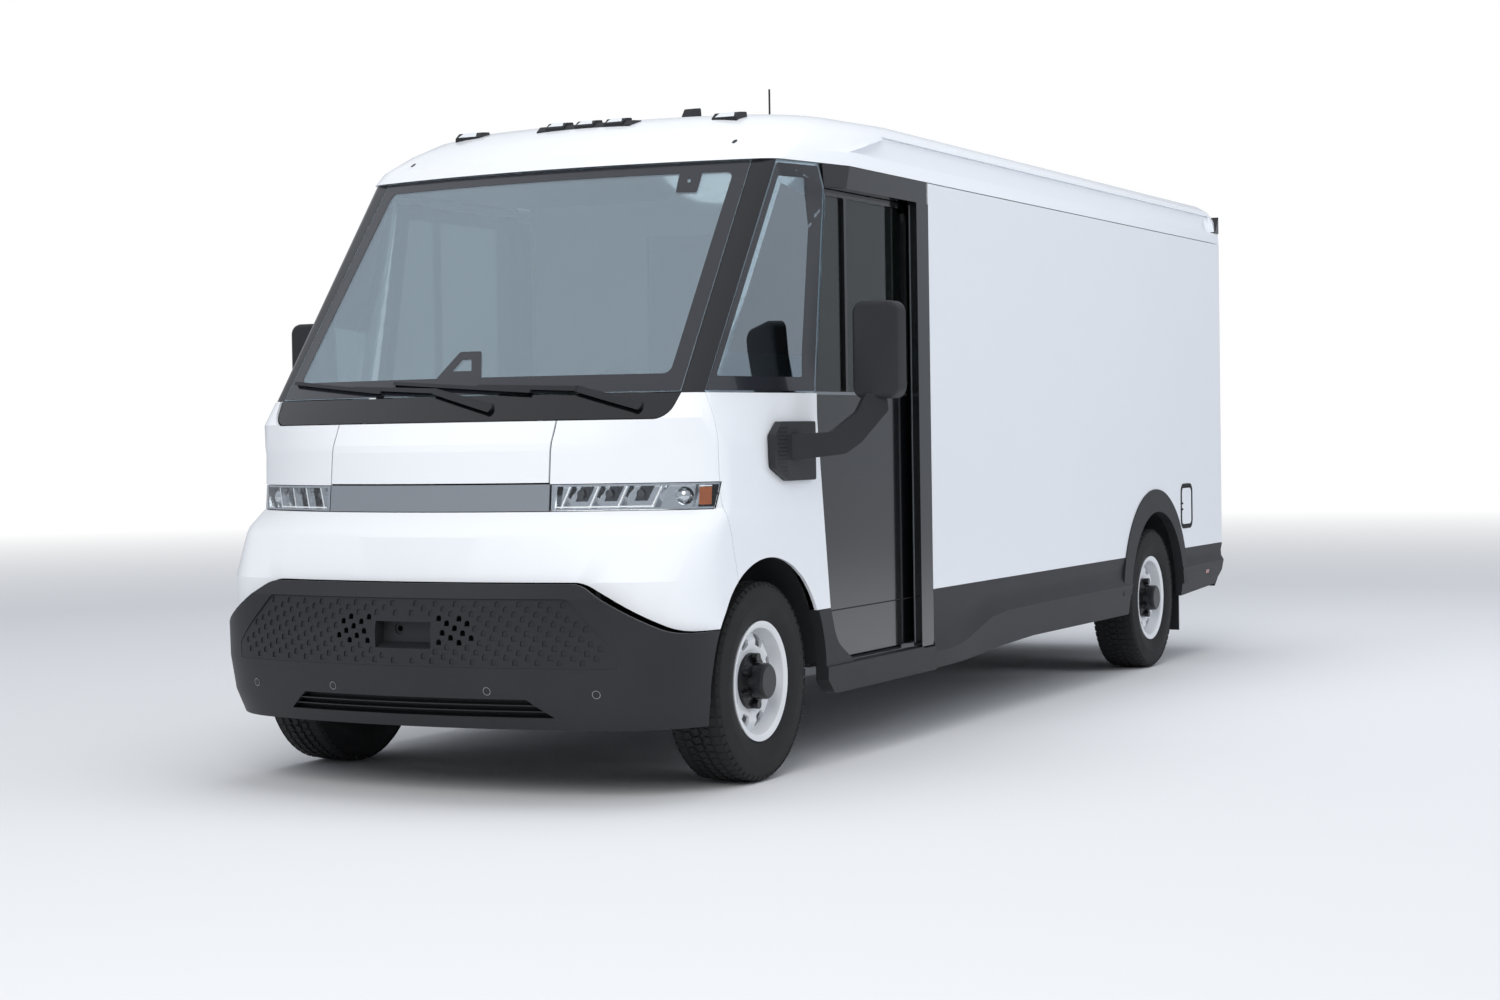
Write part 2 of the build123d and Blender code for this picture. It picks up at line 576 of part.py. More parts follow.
# Rear portal, roll-up door, bumper and lamps
portal_half = body_half - 200.0
portal_top_z = 2235.0
rear_portal = block(-body_half, body_half, body_rear_y - 58, body_rear_y, side_bottom_z, side_top_z)
rear_portal = rear_portal & block(-pocket_outer_x + 1, pocket_outer_x - 1, 3000, 3400, 0, 3000)
rear_portal = rear_portal - block(-portal_half, portal_half, 3200, 3400, floor_top_z, portal_top_z)
write("rear_portal", rear_portal)
slat_height = 118.0
slats = block(-portal_half - 15, portal_half + 15, 3252, 3266, floor_top_z, portal_top_z + 20)
slat_count = int((portal_top_z - floor_top_z) // slat_height)
for index in range(slat_count):
    low = floor_top_z + 4 + index * slat_height
    slats = slats + block(-portal_half + 5, portal_half - 5, 3264, 3276, low, low + slat_height - 6)
write("rollup_door", slats)
rear_step_z = 600.0
rear_bumper = along_x(
    [(body_rear_y, rear_step_z), (rear_end_y, rear_step_z), (rear_end_y, 400.0, 30.0), (body_rear_y, 360.0)], -cladding_inner_x + 1, cladding_inner_x - 1)
write("rear_bumper", rear_bumper)
lamp_post = block(body_half - 160, body_half - 70, body_rear_y, body_rear_y + 24, 760, 1230)
write("tail_lamps", *both_sides(lamp_post))

# Charge port and its flap
charge_ring = along_x(
    rounded(charge_y, charge_z, charge_length, charge_height, 50.0), body_half - 55, body_half + 2)
charge_ring = charge_ring - along_x(
    rounded(charge_y, charge_z, charge_length - 36, charge_height - 36, 34.0), body_half - 45, reach)
flap_axis_y = charge_y - (charge_length - 48) / 2 - 4
flap_axis_x = body_half + 2
flap_pin_radius = 3.0
flap_plate = along_x(
    rounded(charge_y, charge_z, charge_length - 48, charge_height - 48, 28.0), body_half - 7, body_half + 1)
flap = flap_plate + rod_z(flap_pin_radius, flap_axis_x, flap_axis_y, charge_z - 22, charge_z + 22)
flap = flap + block(flap_axis_x - 2, flap_axis_x + 2, flap_axis_y, flap_axis_y + 10, charge_z - 9, charge_z + 9)
ears = None
for z in (charge_z - 16, charge_z + 16):
    ear = block(flap_axis_x - 14, flap_axis_x + 6, flap_axis_y - 12, flap_axis_y + 1, z - 5, z + 5)
    ear = ear - rod_z(flap_pin_radius + seat_gap, flap_axis_x, flap_axis_y, z - 10, z + 10)
    ears = ear if ears is None else ears + ear
charge_ring = charge_ring - rod_z(flap_pin_radius + 2, flap_axis_x, flap_axis_y, charge_z - 24, charge_z + 24)
write("charge_port", charge_ring + ears)
write("charge_door", flap)

# Mirrors
mirror_base = along_x([(-2504, 1150, 20), (-2390, 1100, 20), (-2154, 1100, 10), (-2154, 1320, 10),
                       (-2440, 1320, 20), (-2504, 1270, 20)], body_half - 15, body_half + 15)
mirror_arm_points = [(0, 1180, 10), (120, 1180, 30), (300, 1390, 20), (300, 1440, 10), (220, 1440, 10),
                     (100, 1260, 30), (0, 1260, 10)]
mirror_arm = along_y([(body_half + out, z, corner) for out, z, corner in mirror_arm_points], -2360, -2290)
mirror_inner_x = body_half + 195.0
mirror_outer_x = body_half + 440.0
mirror_head = along_z([(mirror_inner_x, -2375, 30), (mirror_outer_x, -2375, 60), (mirror_outer_x, -2210, 30),
                       (mirror_inner_x, -2210, 30)], 1415, 1752)
write("mirrors", *both_sides((mirror_base + mirror_arm + mirror_head) - plan_loft(nose_levels, -seat_gap, -1900.0)))
mirror_face = block(mirror_inner_x + 20, mirror_outer_x - 18, -2209, -2205, 1430, 1738)
write("mirror_glass", *both_sides(mirror_face))

# Wipers: pivot posts, arms and blades that follow the cowl and the glass
wiper_rows = [
    (784.0, 1382.0, 445.0, 1412.0, 330.0),
    (203.0, 1378.0, -140.0, 1412.0, 330.0),
]
post_layer = plan_loft(cab_levels, -18.0, -1000.0) - plan_loft(cab_levels, -seat_gap, -1000.0)
arm_layer = plan_loft(cab_levels, -17.0, -1000.0) - plan_loft(cab_levels, -8.0, -1000.0)
blade_layer = plan_loft(cab_levels, -18.0, -1000.0) - plan_loft(cab_levels, -1.0, -1000.0)
wipers = []
for pivot_x, pivot_z, tip_x, tip_z, blade_half in wiper_rows:
    post = rod_y(13.0, pivot_x, -3400, -2600, pivot_z) & post_layer
    arm = along_y([(pivot_x + 6, pivot_z - 10), (pivot_x + 6, pivot_z + 10), (tip_x, tip_z + 6),
                   (tip_x, tip_z - 6)], -3400, -2600) & arm_layer
    rise = (tip_z - pivot_z) / (pivot_x - tip_x)
    left_z = tip_z - rise * blade_half * 0.4
    right_z = tip_z + rise * blade_half * 0.4
    blade = along_y([(tip_x + blade_half, left_z - 7), (tip_x + blade_half, left_z + 7),
                     (tip_x - blade_half, right_z + 7), (tip_x - blade_half, right_z - 7)],
                    -3400, -2600) & blade_layer
    wipers.append(post + arm + blade)
write("wipers", *wipers)

# Cab interior
dash = along_x([(-2960, 1000), (-2960, 1330), (-2700, 1345, 30), (-2600, 1230, 40), (-2640, 1000)], -reach, reach)
write("dashboard", dash & block(-pillar_inner_x, pillar_inner_x, -2940, -2500, 0, 2000))
column_x = 420.0
wheel_ring = Pos(column_x, -2470, 1330) * Rot(-60, 0, 0) * Torus(205, 15)
spoke = Pos(column_x, -2470, 1330) * Rot(-60, 0, 0) * Box(400, 40, 14)
column = Pos(column_x, -2470, 1330) * Rot(-60, 0, 0) * Pos(0, 0, -80) * Cylinder(28, 170)
write("steering_wheel", wheel_ring + spoke + column)
seat = block(200, 700, -2020, -1540, 1030, 1150)
seat = seat + along_x([(-1640, 1080), (-1560, 1080), (-1440, 1800, 30), (-1520, 1820, 30)], 220, 680)
seat = seat + block(300, 600, -1950, -1620, floor_top_z, 1035)
write("driver_seat", seat)
bulkhead = block(-pocket_liner_x, pocket_liner_x, box_front_y + 20, box_front_y + 45, floor_top_z, side_top_z)
bulkhead = bulkhead - block(-330, 330, box_front_y - 10, box_front_y + 90, floor_top_z, 2150)
write("bulkhead", bulkhead)


# Wheels: everything below is made about the X axis and then moved to each hub
def tyre_solid():
    """Plain tyre centred on the hub, outer face towards +X."""
    half = tyre_width / 2
    tyre_face = outline([
        (-85.0, 204.8), (-89.2, 222.5), (-half, 268.0, 30.0), (-half + 3, 330.0, 40.0), (-half + 26, tyre_radius, 20.0),
        (half - 26, tyre_radius, 20.0), (half - 3, 330.0, 40.0), (half, 268.0, 30.0), (89.2, 222.5), (85.0, 204.8),
        (70.0, 205.0), (half - 18, 290.0, 30.0), (half - 40, 350.0, 20.0), (-half + 40, 350.0, 20.0),
        (-half + 18, 290.0, 30.0), (-70.0, 205.0)])
    return revolve(tyre_face, Axis.X)


def steel_wheel():
    """Pressed steel wheel with a pierced disc, hub and cap."""
    w = rim_half_width
    barrel = outline([
        (-w, rim_flange_radius), (-w + 8, rim_flange_radius), (-w + 12, 204.0), (-w + 40, 200.0), (-w + 60, 178.0),
        (w - 60, 178.0), (w - 40, 200.0), (w - 12, 204.0), (w - 8, rim_flange_radius), (w, rim_flange_radius),
        (w, 208.0), (w - 6, 196.0), (w - 30, 194.0), (w - 54, 170.0), (-w + 54, 170.0), (-w + 30, 194.0),
        (-w + 6, 196.0), (-w, 208.0)])
    disc = outline([
        (20.0, 171.0), (40.0, 171.0), (56.0, 150.0), (50.0, 112.0), (50.0, 30.0), (38.0, 30.0), (38.0, 112.0),
        (42.0, 146.0)])
    body = revolve(barrel, Axis.X) + revolve(disc, Axis.X)
    for index in range(8):
        hole = Rot(index * 45.0, 0, 0) * along_x(rounded(0.0, 143.0, 62.0, 34.0, 14.0), 10, 90)
        body = body - hole
    cap = outline([(50.0, 0.0), (50.0, 105.0), (66.0, 100.0), (72.0, 70.0), (130.0, 62.0), (134.0, 54.0),
                   (134.0, 0.0)])
    hub = rod_x(60.0, -40, 40, 0, 0) + rod_x(150.0, -32, -8, 0, 0)
    hub = hub - rod_x(26.0, -60, 20, 0, 0)
    return body + revolve(cap, Axis.X) + hub


tyre = tyre_solid()
wheel = steel_wheel()
corners = [("front_left", 1, front_axle_y), ("front_right", -1, front_axle_y),
           ("rear_left", 1, rear_axle_y), ("rear_right", -1, rear_axle_y)]
for name, side, axle_y in corners:
    place = Pos(wheel_centre_x, axle_y, hub_z)
    for kind, solid in (("tyre", tyre), ("wheel", wheel)):
        moved = place * solid
        write(f"{kind}_{name}", moved if side > 0 else mirror(moved, about=Plane.YZ))

# Steering knuckles with their spindles
knuckle = rod_z(24.0, kingpin_x, front_axle_y, hub_z - 80, hub_z + 80)
knuckle = knuckle + rod_x(25.7, kingpin_x, wheel_centre_x + 10, front_axle_y, hub_z)
knuckle = knuckle - rod_z(14.3, kingpin_x, front_axle_y, hub_z - 100, hub_z + 100)
for name, side in (("left", 1), ("right", -1)):
    write(f"knuckle_{name}", knuckle if side > 0 else mirror(knuckle, about=Plane.YZ))

# Front suspension and rear axle
front_sub = block(-430, 430, -2600, -2440, 300, 380)
for side in (-1, 1):
    front_sub = front_sub + block(side * 380, side * 480, -2580, -2460, 262, rail_bottom_z)
    for low, high in ((hub_z - 105, hub_z - 81), (hub_z + 81, hub_z + 105)):
        front_sub = front_sub + block(side * 400, side * (kingpin_x + 30), -2550, -2490, low, high)
    front_sub = front_sub + rod_z(14.0, side * kingpin_x, front_axle_y, hub_z - 110, hub_z + 110)
write("front_suspension", front_sub)
rear_axle = rod_x(52.0, -wheel_centre_x + 95, wheel_centre_x - 95, rear_axle_y, hub_z)
rear_axle = rear_axle + rod_x(25.7, -wheel_centre_x - 10, wheel_centre_x + 10, rear_axle_y, hub_z)
rear_axle = rear_axle + Pos(0, rear_axle_y - 40, hub_z) * Box(420, 380, 300)
for side in (-1, 1):
    rear_axle = rear_axle + block(side * 455, side * 525, 1500, 2780, hub_z + 44, hub_z + 72)
    rear_axle = rear_axle + block(side * 455, side * 525, 1490, 1530, hub_z + 44, rail_bottom_z)
    rear_axle = rear_axle + block(side * 455, side * 525, 2750, 2790, hub_z + 44, rail_bottom_z)
write("rear_axle", rear_axle)
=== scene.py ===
"""Looks of the electric delivery van: finishes, outer panels, lamps, tyres, studio and camera.

Metres, Z up, front towards -Y; working solids are in millimetres until they are finished.
"""

import math

import bmesh
import bpy
from mathutils import Matrix, Vector
from mathutils.bvhtree import BVHTree


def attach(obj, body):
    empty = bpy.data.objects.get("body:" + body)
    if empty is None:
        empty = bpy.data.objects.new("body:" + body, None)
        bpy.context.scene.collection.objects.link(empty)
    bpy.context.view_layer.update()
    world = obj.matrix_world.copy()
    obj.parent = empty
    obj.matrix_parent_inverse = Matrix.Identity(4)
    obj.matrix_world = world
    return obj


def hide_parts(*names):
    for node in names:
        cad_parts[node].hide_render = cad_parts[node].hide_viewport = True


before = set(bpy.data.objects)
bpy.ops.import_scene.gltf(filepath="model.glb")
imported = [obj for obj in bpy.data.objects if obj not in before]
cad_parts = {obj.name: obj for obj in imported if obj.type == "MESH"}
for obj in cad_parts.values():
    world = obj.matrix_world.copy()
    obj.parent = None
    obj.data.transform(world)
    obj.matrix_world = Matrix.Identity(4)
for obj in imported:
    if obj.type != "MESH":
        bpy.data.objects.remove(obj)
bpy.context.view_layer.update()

# Places shared with the solid model
FRONT_AXLE_Y = -2.52
REAR_AXLE_Y = 2.14
HUB_Z = 0.37
WHEEL_X = 0.885
WHEELS = [("front_left", 1, FRONT_AXLE_Y), ("front_right", -1, FRONT_AXLE_Y),
          ("rear_left", 1, REAR_AXLE_Y), ("rear_right", -1, REAR_AXLE_Y)]


# Small tools for materials and meshes


def srgb(text):
    """Linear colour of an sRGB hex value."""
    values = [int(text[i:i + 2], 16) / 255 for i in (1, 3, 5)]
    return tuple(v / 12.92 if v <= 0.04045 else ((v + 0.055) / 1.055) ** 2.4 for v in values) + (1.0,)


def material(name):
    """Empty node material."""
    made = bpy.data.materials.new(name)
    made.use_nodes = True
    made.node_tree.nodes.clear()
    return made


def add(made, kind, inputs=None, **settings):
    """Adds one shader node; inputs maps a socket's name or number to a value or to the output that feeds it."""
    tree = made.node_tree
    node = tree.nodes.new("ShaderNode" + kind)
    for name, value in settings.items():
        setattr(node, name, value)
    for name, value in (inputs or {}).items():
        if isinstance(value, bpy.types.NodeSocket):
            tree.links.new(value, node.inputs[name])
        else:
            node.inputs[name].default_value = value
    return node


def finish(made, kind, inputs):
    """Adds the last shader of a material with its output, and returns the material."""
    shader = add(made, kind, inputs)
    add(made, "OutputMaterial", {"Surface": shader.outputs[0]})
    return made


def add_mirror(mesh):
    """Adds the mirror image across the van's middle."""
    twins = bmesh.ops.duplicate(mesh, geom=mesh.verts[:] + mesh.edges[:] + mesh.faces[:])["geom"]
    verts = [item for item in twins if isinstance(item, bmesh.types.BMVert)]
    faces = [item for item in twins if isinstance(item, bmesh.types.BMFace)]
    bmesh.ops.scale(mesh, vec=(-1, 1, 1), verts=verts)
    bmesh.ops.reverse_faces(mesh, faces=faces)


def new_piece(name, mesh, surface, body="body", smooth=None, mirrored=False, replaces=None):
    """Turns a bmesh into a finished piece that rides on a body; mirrored adds the one on the other side."""
    if mirrored:
        add_mirror(mesh)
    data = bpy.data.meshes.new(name)
    mesh.to_mesh(data)
    mesh.free()
    piece = bpy.data.objects.new(name, data)
    bpy.context.scene.collection.objects.link(piece)
    for each in surface if isinstance(surface, (list, tuple)) else [surface]:
        data.materials.append(each)
    if smooth is not None:
        for face in data.polygons:
            face.use_smooth = True
        data.set_sharp_from_angle(angle=math.radians(smooth))
    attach(piece, body)
    if replaces:
        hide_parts(replaces)
    return piece


def bar(mesh, size, place, bevel, index=0):
    """Adds a box of a size at a place, with bevelled edges."""
    made = bmesh.ops.create_cube(mesh, size=1.0, matrix=Matrix.Translation(place) @ Matrix.Diagonal((*size, 1.0)))
    faces = {face for vert in made["verts"] for face in vert.link_faces}
    edges = list({edge for vert in made["verts"] for edge in vert.link_edges})
    made = bmesh.ops.bevel(mesh, geom=edges, offset=bevel, segments=2, affect="EDGES", profile=0.5, material=-1)
    for face in set(made["faces"]) | {face for face in faces if face.is_valid}:
        face.material_index = index


def bars(name, surface, rows, body="body", mirrored=False):
    """Finished piece of bars: each row is a size, a place, a bevel and, if need be, the number of its surface."""
    mesh = bmesh.new()
    for size, place, bevel, *index in rows:
        bar(mesh, size, place, bevel, *index)
    return new_piece(name, mesh, surface, body, mirrored=mirrored)


def skin(*sources):
    """Tree for finding places on the surfaces of some solids, given by name, or of some pieces."""
    verts = []
    faces = []
    for source in sources:
        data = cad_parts[source].data if isinstance(source, str) else source.data
        start = len(verts)
        verts += [vert.co.copy() for vert in data.vertices]
        data.calc_loop_triangles()
        faces += [[start + index for index in face.vertices] for face in data.loop_triangles]
    return BVHTree.FromPolygons(verts, faces)


FRONT = (lambda a, z: Vector((a, -4.0, z)), Vector((0, 1, 0)))
LEFT = (lambda a, z: Vector((2.0, a, z)), Vector((-1, 0, 0)))


def on_skin(tree, view, a, z, lift):
    """Point of the surface seen from a side at (a, z), lifted off it along its normal."""
    start, way = view
    hit, normal = tree.ray_cast(start(a, z), way)[:2]
    if hit is None:
        raise ValueError(f"no surface at {a:.3f}, {z:.3f}")
    if normal.dot(way) > 0:
        normal = -normal
    return hit + normal * lift


def drape(name, tree, view, grid, lift, surface, mirrored=False):
    """Thin sheet laid on a surface: grid is rows of (a, z) places."""
    mesh = bmesh.new()
    rows = [[mesh.verts.new(on_skin(tree, view, a, z, lift)) for a, z in row] for row in grid]
    for low, high in zip(rows, rows[1:]):
        for index in range(len(low) - 1):
            mesh.faces.new((low[index], low[index + 1], high[index + 1], high[index]))
    bmesh.ops.remove_doubles(mesh, verts=mesh.verts, dist=1e-6)
    if mesh.faces[:] and sum((face.normal.dot(view[1]) for face in mesh.faces), 0.0) > 0:
        bmesh.ops.reverse_faces(mesh, faces=mesh.faces)
    return new_piece(name, mesh, surface, smooth=40, mirrored=mirrored)


def walk(corners, counts, radius=0.0):
    """Points round a closed outline; each side is cut into its count, and corners are rounded."""
    points = []
    for index, count in enumerate(counts):
        here = Vector(corners[index])
        after = Vector(corners[(index + 1) % len(corners)])
        before = Vector(corners[index - 1])
        inward = (before - here).normalized()
        onward = (after - here).normalized()
        if radius:
            for step in range(6):
                t = step / 5
                bend = (1 - t) ** 2 * inward + t ** 2 * onward
                points.append(tuple(here + bend * radius))
        start = here + onward * radius
        end = after - (after - here).normalized() * radius
        points += [tuple(start.lerp(end, step / count)) for step in range(0 if not radius else 1, count)]
    return points


def disc(x, z, radii, steps):
    """Rows of a round patch, for drape."""
    turns = [i * 2 * math.pi / steps for i in range(steps + 1)]
    return [[(x + r * math.cos(a), z + r * math.sin(a)) for a in turns] for r in radii]


def quad(low_left, low_right, high_right, high_left, count):
    """Rows of a four-sided patch with level upper and lower edges, for drape."""
    return [[(left[0] + (right[0] - left[0]) * i / count, left[1]) for i in range(count + 1)]
            for left, right in ((low_left, low_right), (high_left, high_right))]


def ring(outer, inner, across):
    """Rows from an outline to the one inside it, for drape."""
    outer = outer + outer[:1]
    inner = inner + inner[:1]
    return [[tuple(Vector(a).lerp(Vector(b), step / across)) for a, b in zip(outer, inner)]
            for step in range(across + 1)]


# Solid shapes in millimetres, for panels that are cut and joined before they are finished


def rounded_path(points, steps=6):
    """Closed outline through (a, b) points; a third value rounds that corner."""
    path = []
    for index, point in enumerate(points):
        here = Vector(point[:2])
        if len(point) < 3:
            path.append(tuple(here))
            continue
        back = (Vector(points[index - 1][:2]) - here).normalized()
        onward = (Vector(points[(index + 1) % len(points)][:2]) - here).normalized()
        half = back.angle(onward) / 2
        centre = here + (back + onward).normalized() * point[2] / math.sin(half)
        first = here + back * point[2] / math.tan(half) - centre
        last = here + onward * point[2] / math.tan(half) - centre
        sweep = math.atan2(first.x * last.y - first.y * last.x, first.dot(last))
        for step in range(steps + 1):
            turned = Matrix.Rotation(sweep * step / steps, 2) @ first
            path.append(tuple(centre + turned))
    return path


def working(verts, faces):
    """Working solid from its points and faces, with the faces turned outwards."""
    data = bpy.data.meshes.new("working")
    data.from_pydata(verts, [], faces)
    mesh = bmesh.new()
    mesh.from_mesh(data)
    bmesh.ops.recalc_face_normals(mesh, faces=mesh.faces)
    mesh.to_mesh(data)
    mesh.free()
    made = bpy.data.objects.new("working", data)
    bpy.context.scene.collection.objects.link(made)
    return made


def through(rows):
    """Working solid through rings of as many points each."""
    count = len(rows[0])
    faces = [[low * count + i, low * count + (i + 1) % count, (low + 1) * count + (i + 1) % count,
              (low + 1) * count + i] for low in range(len(rows) - 1) for i in range(count)]
    faces += [list(range(count)), list(range((len(rows) - 1) * count, len(rows) * count))]
    return working([point for row in rows for point in row], faces)


AXIS_PLACE = {"x": lambda d, a, b: (d, a, b), "y": lambda d, a, b: (a, d, b), "z": lambda d, a, b: (a, b, d)}


def prism(points, axis, low, high):
    """Outline run along an axis; its points are (y, z), (x, z) or (x, y)."""
    path = rounded_path(points)
    return through([[AXIS_PLACE[axis](depth, a, b) for a, b in path] for depth in (low, high)])


def side_zone(points):
    """Side outline, as (y, z), run past both sides of the van."""
    return prism(points, "x", -REACH, REACH)


def rod(radius, axis, low, high, a, b, steps=96):
    """Round bar along an axis."""
    turns = [i * 2 * math.pi / steps for i in range(steps)]
    path = [(a + radius * math.cos(t), b + radius * math.sin(t)) for t in turns]
    return through([[AXIS_PLACE[axis](depth, *point) for point in path] for depth in (low, high)])


def block(x0, x1, y0, y1, z0, z1):
    """Rectangular solid between two corners."""
    return prism([(x0, y0), (x1, y0), (x1, y1), (x0, y1)], "z", z0, z1)


def corner_centre(nose_y, nose_radius, corner, x_front, slope):
    """Centre of the round corner between the bowed nose and the tapering side."""
    shift = x_front - corner * math.hypot(1.0, slope)
    a = 1.0 + slope * slope
    b = shift * slope - nose_radius
    c = shift * shift + nose_radius ** 2 - (nose_radius - corner) ** 2
    v = (-b - math.sqrt(b * b - a * c)) / a
    return shift + slope * v, nose_y + v


def plan_ring(level, inset, rear_y):
    """Level outline of the cab: bowed nose, round corners, tapering sides and a straight rear."""
    z, nose_y, nose_radius, corner, in_front, in_back, y_back = level
    nose_y, nose_radius, corner = nose_y + inset, nose_radius - inset, max(corner - inset, 20.0)
    x_front, x_back = BODY - in_front - inset, BODY - in_back - inset
    slope = (x_back - x_front) / (y_back - nose_y)
    centre = Vector(corner_centre(nose_y, nose_radius, corner, x_front, slope))
    bow_centre = Vector((0.0, nose_y + nose_radius))
    bow_turn = math.atan2((centre - bow_centre).x, -(centre - bow_centre).y)
    side_turn = math.atan2(1.0, slope)
    side = [(bow_centre.x + nose_radius * math.sin(t), bow_centre.y - nose_radius * math.cos(t))
            for t in [bow_turn * i / 20 for i in range(21)]]
    side += [(centre.x + corner * math.sin(t), centre.y - corner * math.cos(t))
             for t in [bow_turn + (side_turn - bow_turn) * i / 12 for i in range(1, 13)]]
    side += [(x_back, y_back), (x_back, rear_y)]
    return [(x, y, z) for x, y in side] + [(-x, y, z) for x, y in reversed(side[1:])]


def loft(levels, inset, rear_y):
    """Solid through the level outlines."""
    return through([plan_ring(level, inset, rear_y) for level in levels])


def face_depth(levels, x, z):
    """Y of the bowed front of a lofted form at one place on it."""
    low, high = next(pair for pair in zip(levels, levels[1:]) if pair[0][0] <= z <= pair[1][0])
    share = (z - low[0]) / (high[0] - low[0])
    nose_y, nose_radius, corner, in_front, in_back, y_back = [
        first + (second - first) * share for first, second in zip(low[1:], high[1:])]
    slope = (in_front - in_back) / (y_back - nose_y)
    centre_x, centre_y = corner_centre(nose_y, nose_radius, corner, BODY - in_front, slope)
    if abs(x) > centre_x * nose_radius / (nose_radius - corner):
        return centre_y - math.sqrt(corner ** 2 - (abs(x) - centre_x) ** 2)
    return nose_y + nose_radius - math.sqrt(nose_radius ** 2 - x ** 2)


def discard(shape):
    """Removes a working solid."""
    data = shape.data
    bpy.data.objects.remove(shape)
    bpy.data.meshes.remove(data)


def copied(shape, shift=(0, 0, 0), side=1):
    """Second copy of a working solid, moved, or else mirrored to the right side."""
    made = bpy.data.objects.new("working", shape.data.copy())
    bpy.context.scene.collection.objects.link(made)
    made.data.transform(Matrix.Translation(shift))
    if side < 0:
        made.data.transform(Matrix.Diagonal((-1, 1, 1, 1)))
        made.data.flip_normals()
    return made


def combine(base, tools, kind):
    """Cuts, meets or joins a working solid with others, which are used up."""
    for tool in tools:
        step = base.modifiers.new("step", "BOOLEAN")
        step.operation = kind
        step.solver = "EXACT"
        step.object = tool
        result = bpy.data.meshes.new_from_object(base.evaluated_get(bpy.context.evaluated_depsgraph_get()))
        base.modifiers.clear()
        old = base.data
        base.data = result
        bpy.data.meshes.remove(old)
        discard(tool)
    return base


def cut(base, *tools):
    return combine(base, tools, "DIFFERENCE")


def meet(base, *tools):
    return combine(base, tools, "INTERSECT")


def join(base, *tools):
    return combine(base, tools, "UNION")


def together(base, *others):
    """Puts working solids into one without joining their walls."""
    mesh = bmesh.new()
    for shape in (base, *others):
        mesh.from_mesh(shape.data)
    for other in others:
        discard(other)
    mesh.to_mesh(base.data)
    mesh.free()
    return base


def finished(shape, name, slot, smooth=18, mirrored=False, replaces=None, body="body", surface=None):
    """Finished piece, in metres, from a working solid, which is used up."""
    mesh = bmesh.new()
    mesh.from_mesh(shape.data)
    discard(shape)
    bmesh.ops.scale(mesh, vec=(0.001, 0.001, 0.001), verts=mesh.verts)
    bmesh.ops.remove_doubles(mesh, verts=mesh.verts, dist=2e-6)
    bmesh.ops.dissolve_degenerate(mesh, edges=mesh.edges, dist=2e-6)
    for face in mesh.faces:
        face.material_index = 0
    return new_piece(name, mesh, surface or node_finish[slot][0], body, smooth, mirrored, replaces)


# Finishes

# Two-coat acrylic enamel on steel and composite panels: clean cool white with a soft clear gloss.
white_paint = material("acrylic_enamel_white")
place = add(white_paint, "TexCoord").outputs["Object"]
peel = add(white_paint, "TexNoise", {"Vector": place, "Scale": 1 / 0.012, "Detail": 1.0})
ripple = add(white_paint, "Bump", {"Height": peel.outputs["Fac"], "Strength": 0.02, "Distance": 0.0006})
finish(white_paint, "BsdfPrincipled", {
    "Base Color": srgb("#F0F3F7"), "Roughness": 0.34, "Coat Weight": 0.7, "Coat Roughness": 0.05,
    "Normal": ripple.outputs["Normal"]})

# Moulded grained polypropylene: dark charcoal with a fine leather grain, greyer where road dust sits low down.
black_plastic = material("moulded_polypropylene_grained")
place = add(black_plastic, "TexCoord").outputs["Object"]
grain = add(black_plastic, "TexNoise", {"Vector": place, "Scale": 1 / 0.004, "Detail": 2.0})
dust = add(black_plastic, "TexNoise", {"Vector": place, "Scale": 1 / 0.35, "Detail": 4.0})
tone = add(black_plastic, "Mix", {
    0: dust.outputs["Fac"], 6: srgb("#1E1F22"), 7: srgb("#2C2D30")}, data_type="RGBA")
pits = add(black_plastic, "Bump", {"Height": grain.outputs["Fac"], "Strength": 0.25, "Distance": 0.0008})
finish(black_plastic, "BsdfPrincipled", {
    "Base Color": tone.outputs[2], "Roughness": 0.52, "Specular IOR Level": 0.4, "Normal": pits.outputs["Normal"]})

# Lacquered ABS: deep gloss black with mirror-like highlights.
gloss_black = finish(material("lacquered_abs_black"), "BsdfPrincipled", {
    "Base Color": srgb("#0B0C0F"), "Roughness": 0.12, "Coat Weight": 0.5, "Coat Roughness": 0.03})

# Moulded nylon of the hub caps: black with a soft sheen.
hub_plastic = finish(material("moulded_nylon_black"), "BsdfPrincipled", {
    "Base Color": srgb("#131316"), "Roughness": 0.3})

# Chassis enamel over steel: satin black.
frame_black = finish(material("chassis_enamel_black"), "BsdfPrincipled", {
    "Base Color": srgb("#191A1C"), "Roughness": 0.5})

# Sand-cast aluminium battery case: dull pale grey metal.
battery_case = finish(material("cast_aluminium_case"), "BsdfPrincipled", {
    "Base Color": srgb("#8A8C8F"), "Roughness": 0.5, "Metallic": 1.0})

# Cast iron: dark and rough.
cast_metal = finish(material("cast_iron_raw"), "BsdfPrincipled", {
    "Base Color": srgb("#4A4A4C"), "Roughness": 0.6, "Metallic": 0.8})

# Studded rubber sheet on the floor: matt dark grey.
floor_grey = finish(material("rubber_floor_sheet"), "BsdfPrincipled", {
    "Base Color": srgb("#55575A"), "Roughness": 0.8})

# Painted composite lining: plain light grey.
interior_grey = finish(material("painted_lining_grey"), "BsdfPrincipled", {
    "Base Color": srgb("#C2C4C6"), "Roughness": 0.6})

# Soft-touch moulded dashboard skin: dark grey and matt.
interior_dark = finish(material("soft_touch_tpo_dark"), "BsdfPrincipled", {
    "Base Color": srgb("#26272A"), "Roughness": 0.65})

